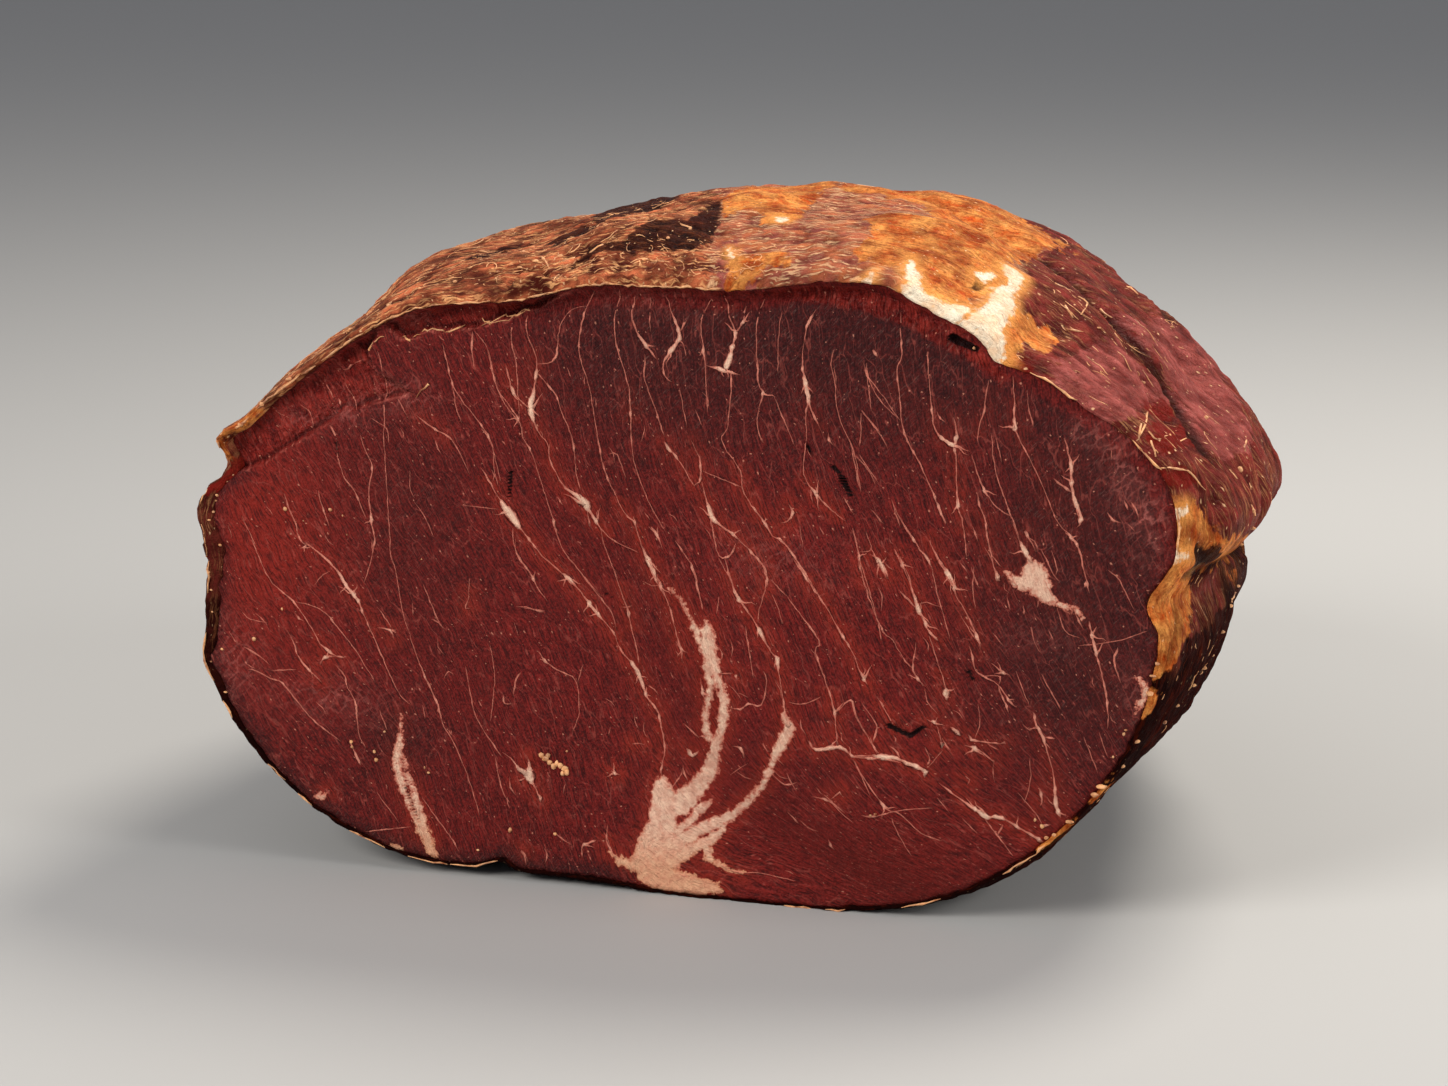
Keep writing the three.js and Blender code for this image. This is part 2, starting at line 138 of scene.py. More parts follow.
# Fine veins, read from six enlarged parts of the photograph. Each part is (pixel at its
# left, pixel at its top, pixels to one of its steps), and each vein in it a chain, with steps
# across, steps down and width in tenths of a mm for each of its marks.
FINE_VEINS = {
    (480, 290, 0.28): ((410,0,2, 378,60,4, 352,212,4, 388,350,2, 432,620,4, 490,765,2, 520,815,4, 545,835,6,
      555,875,3, 570,920,3, 592,970,11, 620,1040,5, 650,1100,4), (378,60,3, 335,68,2, 300,100,2, 280,150,2,
      270,240,4, 240,262,2, 205,265,2), (498,0,2, 482,90,3, 484,190,3, 522,320,2, 532,385,7, 537,540,3,
      548,630,2, 600,770,2, 655,870,2), (602,30,1, 608,152,2), (545,30,5, 542,90,6, 560,150,6, 585,190,9,
      630,250,2), (650,10,2, 712,152,9, 700,190,9, 655,260,6, 660,310,3, 685,330,3), (738,108,2, 712,152,8),
      (725,190,2, 735,240,4), (826,25,2, 800,75,3, 788,130,5, 803,268,5, 806,340,2, 810,440,2), (803,270,4,
      868,288,7, 930,305,1), (868,20,3, 890,95,4, 912,152,8, 905,190,7, 878,280,12, 878,290,8), (945,60,5,
      940,115,6, 915,150,6), (895,290,4, 893,380,3, 878,500,3, 860,525,2, 872,570,2, 925,650,3, 930,705,6,
      948,750,3, 1012,840,8, 1040,885,3, 1085,915,5, 1205,1095,3), (790,650,2, 930,710,3), (1010,30,2,
      992,100,3, 986,180,2, 992,330,5, 1008,370,6, 992,430,2, 988,500,3, 1010,552,4), (1078,80,2,
      1066,150,2, 1062,300,1), (1200,70,2, 1168,130,5, 1156,200,2, 1150,270,4, 1168,380,10, 1180,430,6,
      1210,490,2), (1170,400,5, 1160,450,3, 1162,520,2, 1150,640,2, 1165,690,2, 1208,745,8, 1240,780,3,
      1300,830,2), (1262,215,4, 1252,265,4, 1265,320,2, 1270,400,2, 1285,470,2, 1310,530,2, 1332,580,5,
      1345,640,2, 1345,685,5, 1358,722,3), (1335,590,2, 1380,640,2, 1410,700,2), (1378,260,2, 1385,310,3,
      1410,370,2, 1450,420,2, 1500,465,2), (1360,430,3, 1430,520,4, 1455,570,2), (1048,385,4, 1120,560,1),
      (588,230,2, 584,300,4, 595,350,2, 632,455,4, 655,530,2), (652,545,6, 665,565,10, 705,612,4, 760,703,2,
      778,690,6, 783,650,5, 778,600,3, 750,540,2), (785,690,3, 800,745,4, 820,815,10, 870,860,5, 905,885,6,
      935,915,3, 975,955,6, 1005,990,4, 1018,1040,8, 1020,1070,5), (818,830,3, 845,955,3, 890,950,5,
      905,910,4), (865,960,2, 885,1030,5, 905,1080,3), (690,900,3, 745,985,4, 765,1040,4, 775,1100,3),
      (600,850,3, 625,880,6, 645,935,3), (20,190,2, 58,350,4, 95,405,2, 138,475,6, 150,530,2, 172,570,5,
      190,615,2, 230,750,2, 255,832,5, 275,900,2, 310,965,4, 425,1100,2), (115,105,2, 112,185,4, 128,270,3,
      138,475,2), (162,95,4, 172,170,3, 198,235,3, 200,295,6, 190,360,5, 178,425,12, 205,510,4, 235,548,2,
      245,610,4, 270,665,2, 300,712,8, 340,738,10, 370,770,16, 385,795,9, 450,885,4, 560,945,2), (92,270,2,
      112,355,7, 140,395,5, 172,425,7), (200,295,4, 235,335,3, 270,378,6, 282,420,2, 325,535,5, 338,660,2,
      352,720,3), (0,495,2, 35,550,2, 70,690,1), (-2,635,3, 70,760,6, 90,790,15, 115,825,14, 150,872,6,
      185,917,4, 215,955,3, 260,995,3, 335,1065,8, 365,1100,4), (110,855,1, 115,920,2, 172,1025,4),
      (365,745,3, 378,800,2, 385,850,5), (425,860,2, 440,930,2, 485,1040,1), (1098,770,3, 1112,800,8,
      1095,830,3, 1065,838,2), (1208,850,2, 1222,880,5), (1325,855,4, 1340,910,2, 1352,975,6, 1362,1030,2,
      1385,1095,3), (1372,865,2, 1392,930,2, 1350,940,2), (1410,965,4, 1430,985,7, 1450,1035,4),
      (1468,755,5, 1495,850,3), (1475,930,5, 1500,985,5), (455,590,2, 485,590,4, 515,680,2), (710,350,1,
      735,495,1), (765,430,1, 790,490,2), (1400,215,5, 1420,238,4)),
    (200, 250, 0.28): ((665,240,3, 695,275,3, 712,312,6, 755,350,3, 790,400,5, 802,438,6, 850,500,3,
      935,640,4, 998,778,4), (635,360,2, 648,420,3, 658,600,3, 655,700,2, 678,1100,1), (865,330,3,
      905,490,4, 980,600,3, 1010,640,6, 1040,700,3, 1045,780,2, 1060,850,2), (900,480,2, 912,560,2,
      930,620,3), (972,290,3, 970,350,5, 980,430,2), (980,290,2, 1025,350,3, 1042,420,2, 1058,490,5,
      1085,550,2, 1137,620,4), (770,590,2, 812,625,7, 850,650,3, 880,665,5, 915,710,3, 960,805,3),
      (700,520,2, 735,590,5), (462,625,3, 480,660,4, 490,740,4, 515,815,3, 548,860,5, 592,965,4),
      (570,660,3, 590,720,2, 612,780,5, 600,870,3, 610,980,6, 620,1035,5, 610,1095,3), (500,480,2,
      570,600,2), (610,600,2, 665,640,2, 672,690,6), (300,870,2, 312,910,6, 340,980,3, 355,1035,4,
      378,1055,10), (150,950,2, 200,1060,3), (420,860,2, 432,905,5, 460,990,2), (745,790,2, 748,860,2,
      765,890,2), (930,915,2, 1060,930,2), (760,900,1, 800,960,1, 830,1030,1), (240,560,3, 270,590,3,
      310,610,2), (345,560,3, 380,590,3, 395,640,3), (430,460,4, 470,560,2), (470,430,5, 515,432,7,
      530,400,3), (575,395,3, 540,410,2, 515,430,3)),
    (840, 270, 0.24): ((245,180,2, 258,350,4, 240,400,3, 238,440,7, 245,520,2, 265,680,5, 340,830,3,
      425,1030,5, 440,1060,2), (95,380,2, 110,440,4, 150,490,2, 250,630,3), (110,440,2, 130,590,2),
      (88,590,3, 130,635,2, 168,685,5), (85,600,3, 85,665,6, 78,740,2), (75,770,2, 155,890,2), (45,750,4,
      85,930,4), (365,340,5, 366,400,2, 375,500,2, 388,640,6, 410,690,4, 435,712,9, 470,730,10, 485,700,7,
      482,650,7, 472,615,4), (470,735,8, 485,790,4, 483,870,3, 490,1000,7, 505,1040,3, 525,1200,3),
      (620,460,4, 605,540,3, 600,590,7, 580,650,3, 572,720,2), (545,770,2, 590,900,6, 625,960,2, 670,1005,3,
      715,1030,2), (630,680,1, 650,850,2, 745,1120,5), (650,700,2, 672,800,2), (720,440,2, 726,540,2,
      728,645,9, 745,700,4, 830,870,2, 900,1040,3, 945,1095,3, 975,1130,8, 995,1160,6, 1010,1230,3,
      1025,1290,5, 1040,1350,2), (780,500,1, 785,570,3, 808,655,5), (935,700,5, 965,820,9, 962,870,8,
      972,940,9, 1005,1040,8, 985,1075,3), (890,870,6, 925,900,4, 965,925,6), (1132,750,8, 1130,790,2),
      (570,930,2, 578,980,4, 605,1050,3, 610,1110,6, 640,1240,2, 655,1280,8, 665,1300,3), (550,1070,3,
      560,1100,6, 572,1135,3), (770,1090,6, 785,1120,7, 800,1145,3, 815,1175,3), (720,1050,2, 745,1130,5,
      775,1180,9, 800,1220,9), (840,1165,3, 890,1270,4, 915,1300,3), (880,1170,3, 905,1250,3, 900,1275,4),
      (850,1290,4, 890,1370,3), (210,960,5, 235,1020,3, 290,1110,6, 330,1170,3, 355,1200,5, 385,1260,4),
      (370,1130,4, 395,1190,6, 430,1240,4, 460,1295,7, 485,1360,5), (235,1190,3, 255,1230,8, 280,1275,4,
      300,1340,4), (120,1190,2, 155,1215,8, 195,1280,3), (45,1080,5, 70,1180,3, 72,1240,5), (125,1000,2,
      175,1060,4), (10,950,4, 50,1020,4), (545,1240,3, 560,1290,5, 580,1330,2), (1200,1060,4, 1230,1090,3),
      (1110,1010,3, 1135,1040,4, 1170,1055,2), (1185,960,3, 1200,1000,4)),
    (200, 540, 0.24): ((440,18,8, 470,35,4, 565,125,8, 615,205,9, 650,245,9, 690,340,5, 800,590,2,
      840,660,2, 875,688,1), (412,38,3, 435,30,8, 445,10,3), (733,368,5, 790,380,9, 802,420,4), (733,280,2,
      795,370,4), (540,130,2, 500,155,2, 475,190,3), (215,0,3, 290,165,3, 388,258,4, 470,380,2, 500,435,5,
      565,485,7, 600,490,2), (560,482,6, 520,490,7, 498,520,5), (395,258,3, 450,270,2, 510,300,3, 560,350,4,
      650,470,2, 685,530,2, 725,590,5), (360,375,2, 390,430,4, 405,480,3, 440,530,4, 508,595,7), (180,445,2,
      245,482,5, 290,520,1), (200,540,2, 235,545,4, 300,580,6, 345,600,4, 465,745,4, 585,840,3), (620,832,4,
      670,940,5), (560,520,2, 600,570,4, 612,620,3, 645,680,4, 660,805,3, 690,870,2), (300,545,3,
      400,540,3), (745,710,4, 780,800,3), (710,0,3, 712,70,3, 680,180,1), (785,0,2, 790,60,2, 815,150,2,
      838,300,2, 860,370,2, 910,520,5, 985,690,6, 1010,780,2, 1045,830,3, 1110,980,3, 1165,1150,1),
      (880,265,3, 882,320,4), (925,190,1, 965,290,4, 998,365,3), (1115,165,4, 1112,240,2, 1100,290,7,
      1118,290,4), (1305,0,2, 1310,60,3, 1370,150,6, 1400,210,3, 1440,260,2), (1310,285,3, 1350,285,4,
      1385,298,6, 1425,305,3), (1300,350,3, 1320,410,2), (1100,530,2, 1130,690,3, 1160,770,2, 1255,910,5),
      (1225,910,2, 1255,1040,3, 1290,1100,1), (1200,440,1, 1215,520,2, 1220,620,2, 1205,760,1), (1358,900,3,
      1368,945,9, 1366,985,20, 1388,1020,6, 1415,1078,9, 1420,1095,3), (1325,1005,4, 1355,995,9),
      (1385,960,3, 1370,975,9), (735,1050,2, 830,1180,1), (920,1070,2, 1045,1240,4, 1080,1300,2),
      (1338,1295,6, 1352,1315,8, 1360,1355,3), (690,1215,3, 880,1195,3), (120,380,2, 145,420,4, 165,435,2),
      (175,300,2, 210,330,2, 280,345,1), (1055,570,2, 1030,550,3, 1010,580,6), (1030,795,4, 1045,815,5,
      1042,795,3), (1255,650,3, 1262,685,5, 1290,685,4), (1330,555,3, 1305,600,5, 1300,660,3)),
    (520, 560, 0.24): ((100,-2,3, 150,50,3, 205,95,9, 235,130,6, 300,215,9, 340,260,4, 380,310,4, 410,380,4,
      480,470,10, 525,580,7, 565,630,8, 578,680,4, 598,775,4, 590,850,3, 582,885,8, 590,905,5), (195,-2,2,
      330,170,5, 375,230,3, 392,300,2), (375,30,2, 425,180,3, 437,205,7, 455,290,3, 490,440,4), (412,203,3,
      437,205,6, 458,196,2), (520,0,8, 605,180,4, 650,340,3, 665,385,6, 668,430,2), (640,345,2, 665,380,6,
      690,395,2), (320,1165,4, 260,1195,6, 258,1240,2), (65,385,4, 95,425,6, 130,455,4, 180,480,5,
      225,510,2, 240,640,2, 215,720,1), (255,440,2, 240,490,4, 232,530,2), (500,95,3, 540,115,4, 580,110,3),
      (690,790,8, 715,820,9, 738,800,2), (865,620,4, 910,630,6, 945,605,6, 1000,610,5, 1020,510,2,
      1005,470,4), (830,480,4, 880,478,3), (890,485,8, 898,505,7), (900,560,4, 945,580,3), (880,780,4,
      915,790,6, 930,830,4), (945,850,2, 870,900,2), (820,-2,2, 845,50,2, 862,72,5, 880,120,3, 895,158,8,
      960,250,4, 1005,330,9, 1040,390,3, 1062,420,8, 1075,500,2, 1105,670,6, 1118,700,9), (975,0,3,
      1003,28,4), (1010,30,6, 1018,75,8, 1015,130,3, 990,210,2, 985,270,3), (1040,90,3, 1105,160,4),
      (1040,150,2, 1065,200,2, 1085,270,6), (1105,160,2, 1238,340,5, 1225,390,4, 1285,560,4, 1305,640,9,
      1310,700,3, 1320,775,7), (1128,-2,3, 1240,160,6, 1280,220,2, 1330,310,5, 1380,390,3, 1410,470,2,
      1428,500,10, 1445,530,3), (1408,10,6, 1425,50,3, 1490,280,4, 1500,345,3), (1310,640,3, 1375,590,4,
      1400,660,3, 1490,820,4), (1115,600,2, 1180,605,3, 1250,575,2), (1195,755,3, 1230,795,9, 1330,785,9,
      1380,820,7, 1430,830,7, 1500,830,8), (1390,840,4, 1460,990,2), (1050,900,3, 1100,940,4, 1150,930,3),
      (1110,1050,3, 1160,1100,4), (1215,990,3, 1285,1008,6, 1350,1055,2), (680,690,3, 740,745,4),
      (370,700,3, 365,735,6), (462,772,5, 490,768,4, 515,775,8), (375,880,3, 392,892,10, 415,900,3),
      (185,935,5, 178,975,4), (690,-2,2, 715,60,5, 755,220,3), (820,160,3, 810,235,3), (930,280,5,
      965,500,2), (5,1210,6, 20,1225,8, 35,1260,3), (145,1140,6, 215,1190,3), (0,205,4, 95,218,4),
      (735,375,6, 750,400,5), (745,500,3, 755,560,7, 765,590,5), (740,740,3, 770,740,6), (820,370,5,
      835,400,4, 830,430,3), (660,165,4, 665,200,5), (830,1265,5, 880,1292,4, 930,1303,3, 1000,1305,3,
      1150,1337,2), (1010,770,4, 1025,800,5, 1040,800,6), (365,1105,3, 360,1170,4, 395,1240,7), (625,960,4,
      670,895,3, 672,870,2)),
    (800, 560, 0.2533): ((230,20,7, 250,100,3, 280,190,3, 325,290,4, 360,320,2, 410,400,3, 440,430,4),
      (305,12,9, 335,50,4, 345,80,3), (300,110,3, 320,150,3, 315,205,2), (390,6,8, 415,60,4, 440,120,4,
      460,190,10, 485,240,6, 510,290,7, 545,325,3), (385,120,3, 460,200,5), (455,330,2, 445,440,5,
      485,500,6), (490,510,2, 500,560,2, 540,610,3), (520,30,4, 535,120,3, 590,320,2), (540,0,3, 595,80,9,
      615,145,3, 655,215,4, 705,330,8, 715,355,4), (460,180,4, 495,172,3, 550,188,2), (505,300,3, 565,480,3,
      573,528,12, 580,560,4), (665,340,3, 680,390,6, 690,440,4, 730,465,6, 780,495,3, 830,565,6, 855,582,4),
      (765,452,4, 800,447,6, 830,460,5), (720,460,5, 790,462,3, 780,500,3), (760,290,3, 800,340,3),
      (770,40,7, 780,85,7), (815,60,5, 860,105,8), (685,30,4, 680,110,2, 690,200,3), (815,150,3, 830,200,3),
      (910,265,6, 930,340,3, 950,370,3), (980,280,6, 1000,320,3), (1015,190,2, 1045,280,3, 1110,310,1),
      (1140,240,3, 1165,350,9, 1185,430,3, 1205,510,7, 1215,600,3, 1215,665,4), (1130,80,4, 1125,110,5),
      (1215,40,5, 1260,80,3, 1320,200,2), (1255,345,6, 1240,400,3, 1265,485,6), (1100,340,1, 1250,320,2,
      1370,280,2), (920,600,3, 935,655,8, 960,700,6, 985,790,3, 1000,850,3, 1010,960,10, 1030,1020,3),
      (935,655,5, 905,672,6, 880,650,4), (1005,705,4, 965,700,3), (612,690,6, 625,690,11, 590,660,2),
      (660,690,2, 675,712,7, 790,727,4, 812,722,10), (650,735,5, 690,745,9, 730,770,5, 765,800,8),
      (495,630,3, 530,645,7, 538,620,4), (535,650,2, 550,700,2, 562,740,12, 550,720,5), (560,755,2,
      500,825,2), (905,780,2, 910,870,1, 885,960,1), (280,775,7, 320,782,11, 380,785,9, 420,805,7,
      475,825,9, 495,840,11, 492,862,4), (210,778,6, 280,777,7), (270,700,2, 290,745,4, 320,780,7),
      (300,545,2, 372,665,7), (200,560,3, 215,620,2, 260,700,3), (315,662,3, 300,668,5, 285,725,4),
      (240,570,2, 290,640,3, 300,668,4), (500,815,5, 510,790,3, 490,740,3), (205,790,3, 240,850,2,
      340,985,6, 385,1000,4, 480,1080,3, 560,1110,5), (545,880,4, 660,965,5, 700,990,9, 740,1015,9,
      800,1020,6, 960,1115,9), (720,1010,4, 850,1180,2), (800,1045,5, 780,1090,3), (240,1010,2, 290,1015,5,
      400,990,3, 530,980,2), (115,950,5, 155,920,7, 165,935,3), (90,930,2, 115,950,4, 160,1000,2,
      210,1040,2), (360,1020,5, 380,1070,2, 440,1170,1), (945,905,4, 955,945,7, 948,975,3), (600,1050,3,
      768,1190,4, 780,1240,4), (765,800,3, 760,840,2, 768,880,4), (650,855,4, 668,868,7, 660,890,3),
      (700,570,2, 710,640,2, 690,710,2), (1120,700,2, 1175,840,2), (1180,680,1, 1215,780,2), (950,450,2,
      1030,590,4), (630,225,2, 700,330,2), (780,500,3, 825,610,5), (880,180,5, 885,215,4), (940,160,5,
      938,190,2), (960,1050,6, 990,1045,5), (0,1030,2, 30,1060,2, 70,1075,1), (640,1020,2, 700,1080,3),
      (540,940,2, 590,1000,1), (860,920,1, 930,1000,2, 960,1050,2), (905,580,2, 850,440,1)),
}
# Slits and hollows in the cut, with painted shade inside. A row gives the pixels of both ends, width and
# depth in mm.
SLITS = (509,473,507,497,0.4,0.6, 832,468,841,478,0.5,0.6, 841,480,849,496,0.7,1, 806,447,810,455,0.5,0.5,
    952,339,975,350,1.2,1.6, 405,787,412,805,0.55,0.35, 412,805,418,819,0.55,0.3, 888,727,909,737,0.55,0.8,
    909,737,924,727,0.5,0.8, 549,776,561,784,1.4,0.12, 335,441,337,455,0.6,0.35, 711,690,713,708,0.4,0.13,
    713,708,711,733,0.4,0.13, 604,596,610,599,0.4,0.4, 968,673,972,680,0.5,0.5, 700,636,703,645,0.4,0.12)
# The way the muscle fibres lean on the cut. A row gives a place's two pixels, and the degrees from
# downwards towards the right.
LEANS = (240,540,24, 300,510,34, 430,400,27, 250,640,36, 400,600,31, 330,720,42, 480,700,24, 420,830,18,
    560,560,37, 560,800,16, 620,420,12, 640,640,25, 700,350,4, 760,440,16, 740,540,30, 690,600,22,
    860,340,2, 860,480,23, 900,600,25, 820,700,16, 1000,350,6, 1080,480,9, 1120,600,20, 1080,680,30,
    960,700,34, 860,800,45, 980,830,62, 760,860,78, 900,880,80)


# ---------------------------------------------------------------------------------------------
# Patches and folds that the photograph shows on the crust: corners traced in its pixels.
CRUST_PATCHES = {
    "tan": ((722,197, 716,215, 711,242, 704,252, 712,262, 716,276, 733,281, 768,284, 776,279, 862,287,
      903,302, 925,312, 958,317, 989,342, 1004,365, 1014,373, 1027,347, 1042,352, 1055,340, 1050,327,
      1027,319, 1017,292, 1027,279, 1024,262, 1039,255, 1067,243, 1044,227, 1004,211, 959,199, 923,193,
      873,188, 835,188, 796,183, 761,187),),
    "gold": ((852,254, 872,236, 865,221, 893,213, 928,218, 925,205, 933,200, 963,202, 991,213, 1012,213,
      1039,225, 1066,240, 1039,255, 1024,262, 1004,264, 1001,279, 986,297, 961,302, 928,294, 920,271,
      903,266, 877,264, 855,259), (720,199, 763,188, 809,186, 827,191, 814,200, 796,221, 763,223, 758,208,
      725,216), (1001,312, 1022,312, 1050,327, 1055,340, 1039,352, 1027,347, 1012,373, 999,357, 1014,332),
      (733,281, 730,266, 746,254, 784,254, 791,264, 771,271, 740,276), (1182,500, 1195,500, 1210,515,
      1219,536, 1249,544, 1225,560, 1212,567, 1195,573, 1190,582, 1193,593, 1190,610, 1190,623, 1182,649,
      1169,671, 1158,682, 1160,695, 1151,712, 1134,727, 1123,757, 1117,763, 1119,745, 1128,720, 1144,695,
      1152,660, 1151,636, 1143,601, 1158,588, 1171,575, 1180,560, 1178,541, 1180,519), (1225,570, 1245,560,
      1243,578, 1232,583), (1082,785, 1100,778, 1113,783, 1108,790, 1095,801, 1084,797), (1050,822,
      1073,816, 1068,828, 1044,850, 1040,845)),
    "cream": ((862,276, 875,271, 880,281, 875,290, 865,289), (903,269, 910,258, 917,271, 925,289, 937,297,
      955,302, 975,307, 968,318, 943,311, 928,308, 912,309, 900,300, 905,292, 916,288, 908,279), (959,317,
      974,312, 989,302, 991,289, 1001,286, 1007,280, 999,264, 1012,268, 1025,279, 1021,290, 1013,295,
      1017,309, 1009,320, 1003,333, 1008,350, 1012,372, 999,358, 986,338, 969,327), (972,274, 990,273,
      996,277, 984,283), (1180,508, 1187,505, 1189,512, 1185,522, 1183,541, 1188,556, 1182,560, 1179,545),
      (1148,600, 1156,598, 1156,606, 1152,622, 1154,634, 1150,636, 1149,618), (773,216, 789,216, 788,221,
      774,221), (729,246, 734,250, 733,262, 728,258)),
    "dark": ((570,269, 589,247, 620,245, 634,237, 651,221, 687,221, 714,202, 723,199, 718,223, 711,242,
      702,249, 680,252, 644,254, 608,254, 579,264), (548,243, 586,226, 604,224, 582,236, 560,246),
      (1199,545, 1212,548, 1218,558, 1207,566, 1195,566), (462,262, 500,247, 520,244, 490,258), (716,250,
      728,250, 737,262, 722,264), (970,286, 980,276, 990,280, 984,290)),
    # Mauve patches: a painted sheen on the plum skin
    "mauve": ((1120,320, 1136,316, 1165,328, 1197,355, 1217,378, 1232,399, 1240,428, 1244,453, 1228,459,
      1207,453, 1190,424, 1174,390, 1153,357, 1132,336), (1051,365, 1082,349, 1113,336, 1132,349, 1149,370,
      1165,392, 1170,403, 1140,407, 1120,419, 1099,424, 1082,403, 1066,386), (722,240, 736,238, 738,260,
      728,278, 720,266), (742,268, 760,264, 768,282, 742,280)),
    "red": ((1136,407, 1150,401, 1165,403, 1176,414, 1165,421, 1148,418), (1147,421, 1185,425, 1190,445,
      1160,455, 1148,440), (1002,372, 1014,374, 1022,350, 1034,358, 1046,372, 1068,388, 1058,392, 1030,382),
      (1152,465, 1185,470, 1200,485, 1176,482)),
}
# The same patches where they run on behind what the photograph shows. Their corners are given by
# the angle round the rim and the mm from the cut.
FAR_PATCHES = {
    "tan": ((93,34, 99,60, 92,78, 70,84, 56,70, 45,33),),
    "gold": ((160,-1.2, 168,-1.2, 168,2, 160,2), (76,38, 80,62, 68,72, 56,58, 47,34), (93,36, 95,52, 88,60,
      84,40)),
    # The second dark patch covers the underside: painted shade there, as on the flank
    "dark": ((100,34, 108,60, 124,66, 120,44, 110,24), (-3,5, -1,148, -150,148, -140,14, -100,6, -60,5,
      -24,7)),
    "mauve": ((20,60, 34,66, 36,90, 18,96), (140,84, 156,92, 140,112)),
    "red": ((167,-3, 172,-3, 172,0.5, 167,0.5),),
}
# Grooves in the crust: their depth in mm, and marks of pixel across, pixel down and width in mm
GROOVES = (
    (1.2, (1016,249,0.7, 1043,262,1.2, 1070,278,1.3, 1103,309,1.4, 1120,328,1.2, 1136,345,1.4, 1153,363,1.5,
      1165,384,1.5, 1178,407,1.4, 1192,432,1.3, 1205,455,1, 1213,468,0.6)),
    (0.8, (1109,268,0.7, 1136,291,1, 1149,305,1.2, 1170,326,1.3, 1192,350,1.1, 1210,374,0.7)),
    (0.9, (1184,577,0.8, 1193,573,1.2, 1210,567,1.2, 1221,561,1.2, 1249,545,1)),
    (0.35, (1149,469,0.5, 1170,472,0.9, 1186,476,0.9, 1200,488,0.9, 1204,505,0.6)),
    (0.3, (1157,446,0.5, 1175,443,0.7, 1196,448,0.5)),
    (0.3, (1150,456,0.5, 1172,455,0.7, 1194,462,0.5)),
    (-0.45, (884,217,0.5, 905,219,1, 945,229,1.1, 985,240,1, 1012,246,0.6)),
    (-0.45, (905,240,0.5, 935,245,1, 965,251,1.1, 1000,260,0.8)),
    (-0.4, (927,214,0.6, 950,217,1, 975,222,0.6)),
    (0.6, (1176,592,0.5, 1178,620,0.9, 1171,650,0.9, 1164,676,0.5)),
    (0.8, (1199,548,1, 1206,556,1.6, 1211,562,1)),
    (0.6, (1020,352,0.8, 1032,364,1.4, 1046,372,0.8)),
    (0.3, (740,203,0.5, 790,201,0.8, 812,204,0.5)),
    (0.35, (640,222,0.5, 660,216,0.8, 700,212,0.6, 716,200,0.5)),
    (-1.3, (516,291,2, 528,288,4, 540,287,4, 547,284,2.4)),
    (0.9, (508,285,0.6, 522,276,0.8, 540,270,0.8, 550,276,0.6)),
)
# Long swellings of the crust between the grooves. A row gives the height in mm, the pixels of both
# ends and the half width in mm.
LOBES = (0.8,1062,300,1120,372,6, 0.8,1120,372,1170,450,5, 0.9,1150,300,1215,385,5, 0.9,1215,385,1238,450,5,
    0.7,1215,480,1245,515,6, 0.5,870,226,980,236,4, 0.5,860,250,960,262,4, 0.4,700,262,780,262,4,
    0.5,740,200,830,196,4, 0.5,600,252,690,240,4, 0.5,470,270,520,256,5)
# Strokes of gold that stand out on the crust
GOLD_STROKES = ((1145,415, 1143,428, 1136,441), (1147,432, 1157,440, 1168,437, 1186,438), (1151,440,
    1155,457), (1140,425, 1138,440), (1149,469, 1168,468, 1190,473, 1203,490), (541,257, 546,262, 549,268),
    (537,262, 543,264), (1228,470, 1234,480), (1238,440, 1240,456), (1125,290, 1136,298), (1101,306,
    1112,316), (1053,285, 1062,292), (1248,505, 1250,515), (1236,592, 1232,602), (590,254, 604,247),
    (560,262, 575,257), (478,250, 488,251), (680,224, 692,227), (1075,300, 1084,306, 1078,318), (1062,308,
    1070,320), (1066,330, 1080,334))
# Golden beads on the crust. A row gives pixel across, pixel down and size in mm.
CRUST_BEADS = (1238,470,1.1, 1247,512,0.7, 1250,527,0.8, 1246,545,0.7, 1238,586,0.8, 1230,606,0.7,
    1222,632,0.9, 1212,655,0.6, 1204,668,0.8, 1192,684,0.7, 1178,706,0.7, 1164,722,0.8, 1150,694,0.9,
    1153,676,0.8, 1157,664,0.7, 1136,741,0.8, 1122,766,0.8, 1100,786,1.1, 1092,792,0.9, 1066,818,0.8,
    1052,832,0.7, 1205,418,0.7, 1128,292,0.7, 1170,330,0.6, 1143,382,0.6, 1096,330,0.6, 560,256,0.8,
    536,262,0.7, 520,268,0.7, 498,272,0.6, 482,262,0.6, 455,282,0.7, 604,262,0.6, 646,262,0.8, 668,240,0.6,
    690,228,0.6, 420,290,0.6, 390,306,0.7, 352,330,0.7, 318,356,0.8, 290,380,0.8, 262,404,0.8, 240,424,0.9,
    216,496,0.6, 209,520,0.5, 220,545,0.5, 206,556,0.4, 213,512,0.5, 218,502,0.4, 211,590,0.5, 212,612,0.4,
    209,572,0.4, 214,660,0.4, 226,692,0.4)
# Ragged golden edges of the ledges under the crust at the upper left, in pixels
LEDGE_EDGES = ((398,339, 415,338, 426,330, 444,332, 452,329, 472,329), (477,321, 486,325, 493,321, 507,321,
    518,313, 531,311, 540,304), (480,325, 493,323, 500,318, 514,317, 524,309), (486,319, 496,325, 505,319),
    (366,352, 374,342, 385,335), (416,396, 424,388, 430,384))
# Pinkish films of tissue on the cut. A row gives the middle's pixels, the half width and height in
# pixels, and the share.
FILMS = (400,394,30,14,0.7, 350,412,18,14,0.6, 300,424,22,12,0.5, 1122,470,18,34,0.7, 1150,522,18,30,0.9,
    1102,440,14,20,0.5, 1080,430,12,12,0.6, 330,700,55,16,0.5, 236,660,22,40,0.5, 1135,690,14,24,0.5,
    640,300,60,8,0.4, 1040,640,40,14,0.3, 770,560,60,24,0.35, 410,318,16,10,0.6)
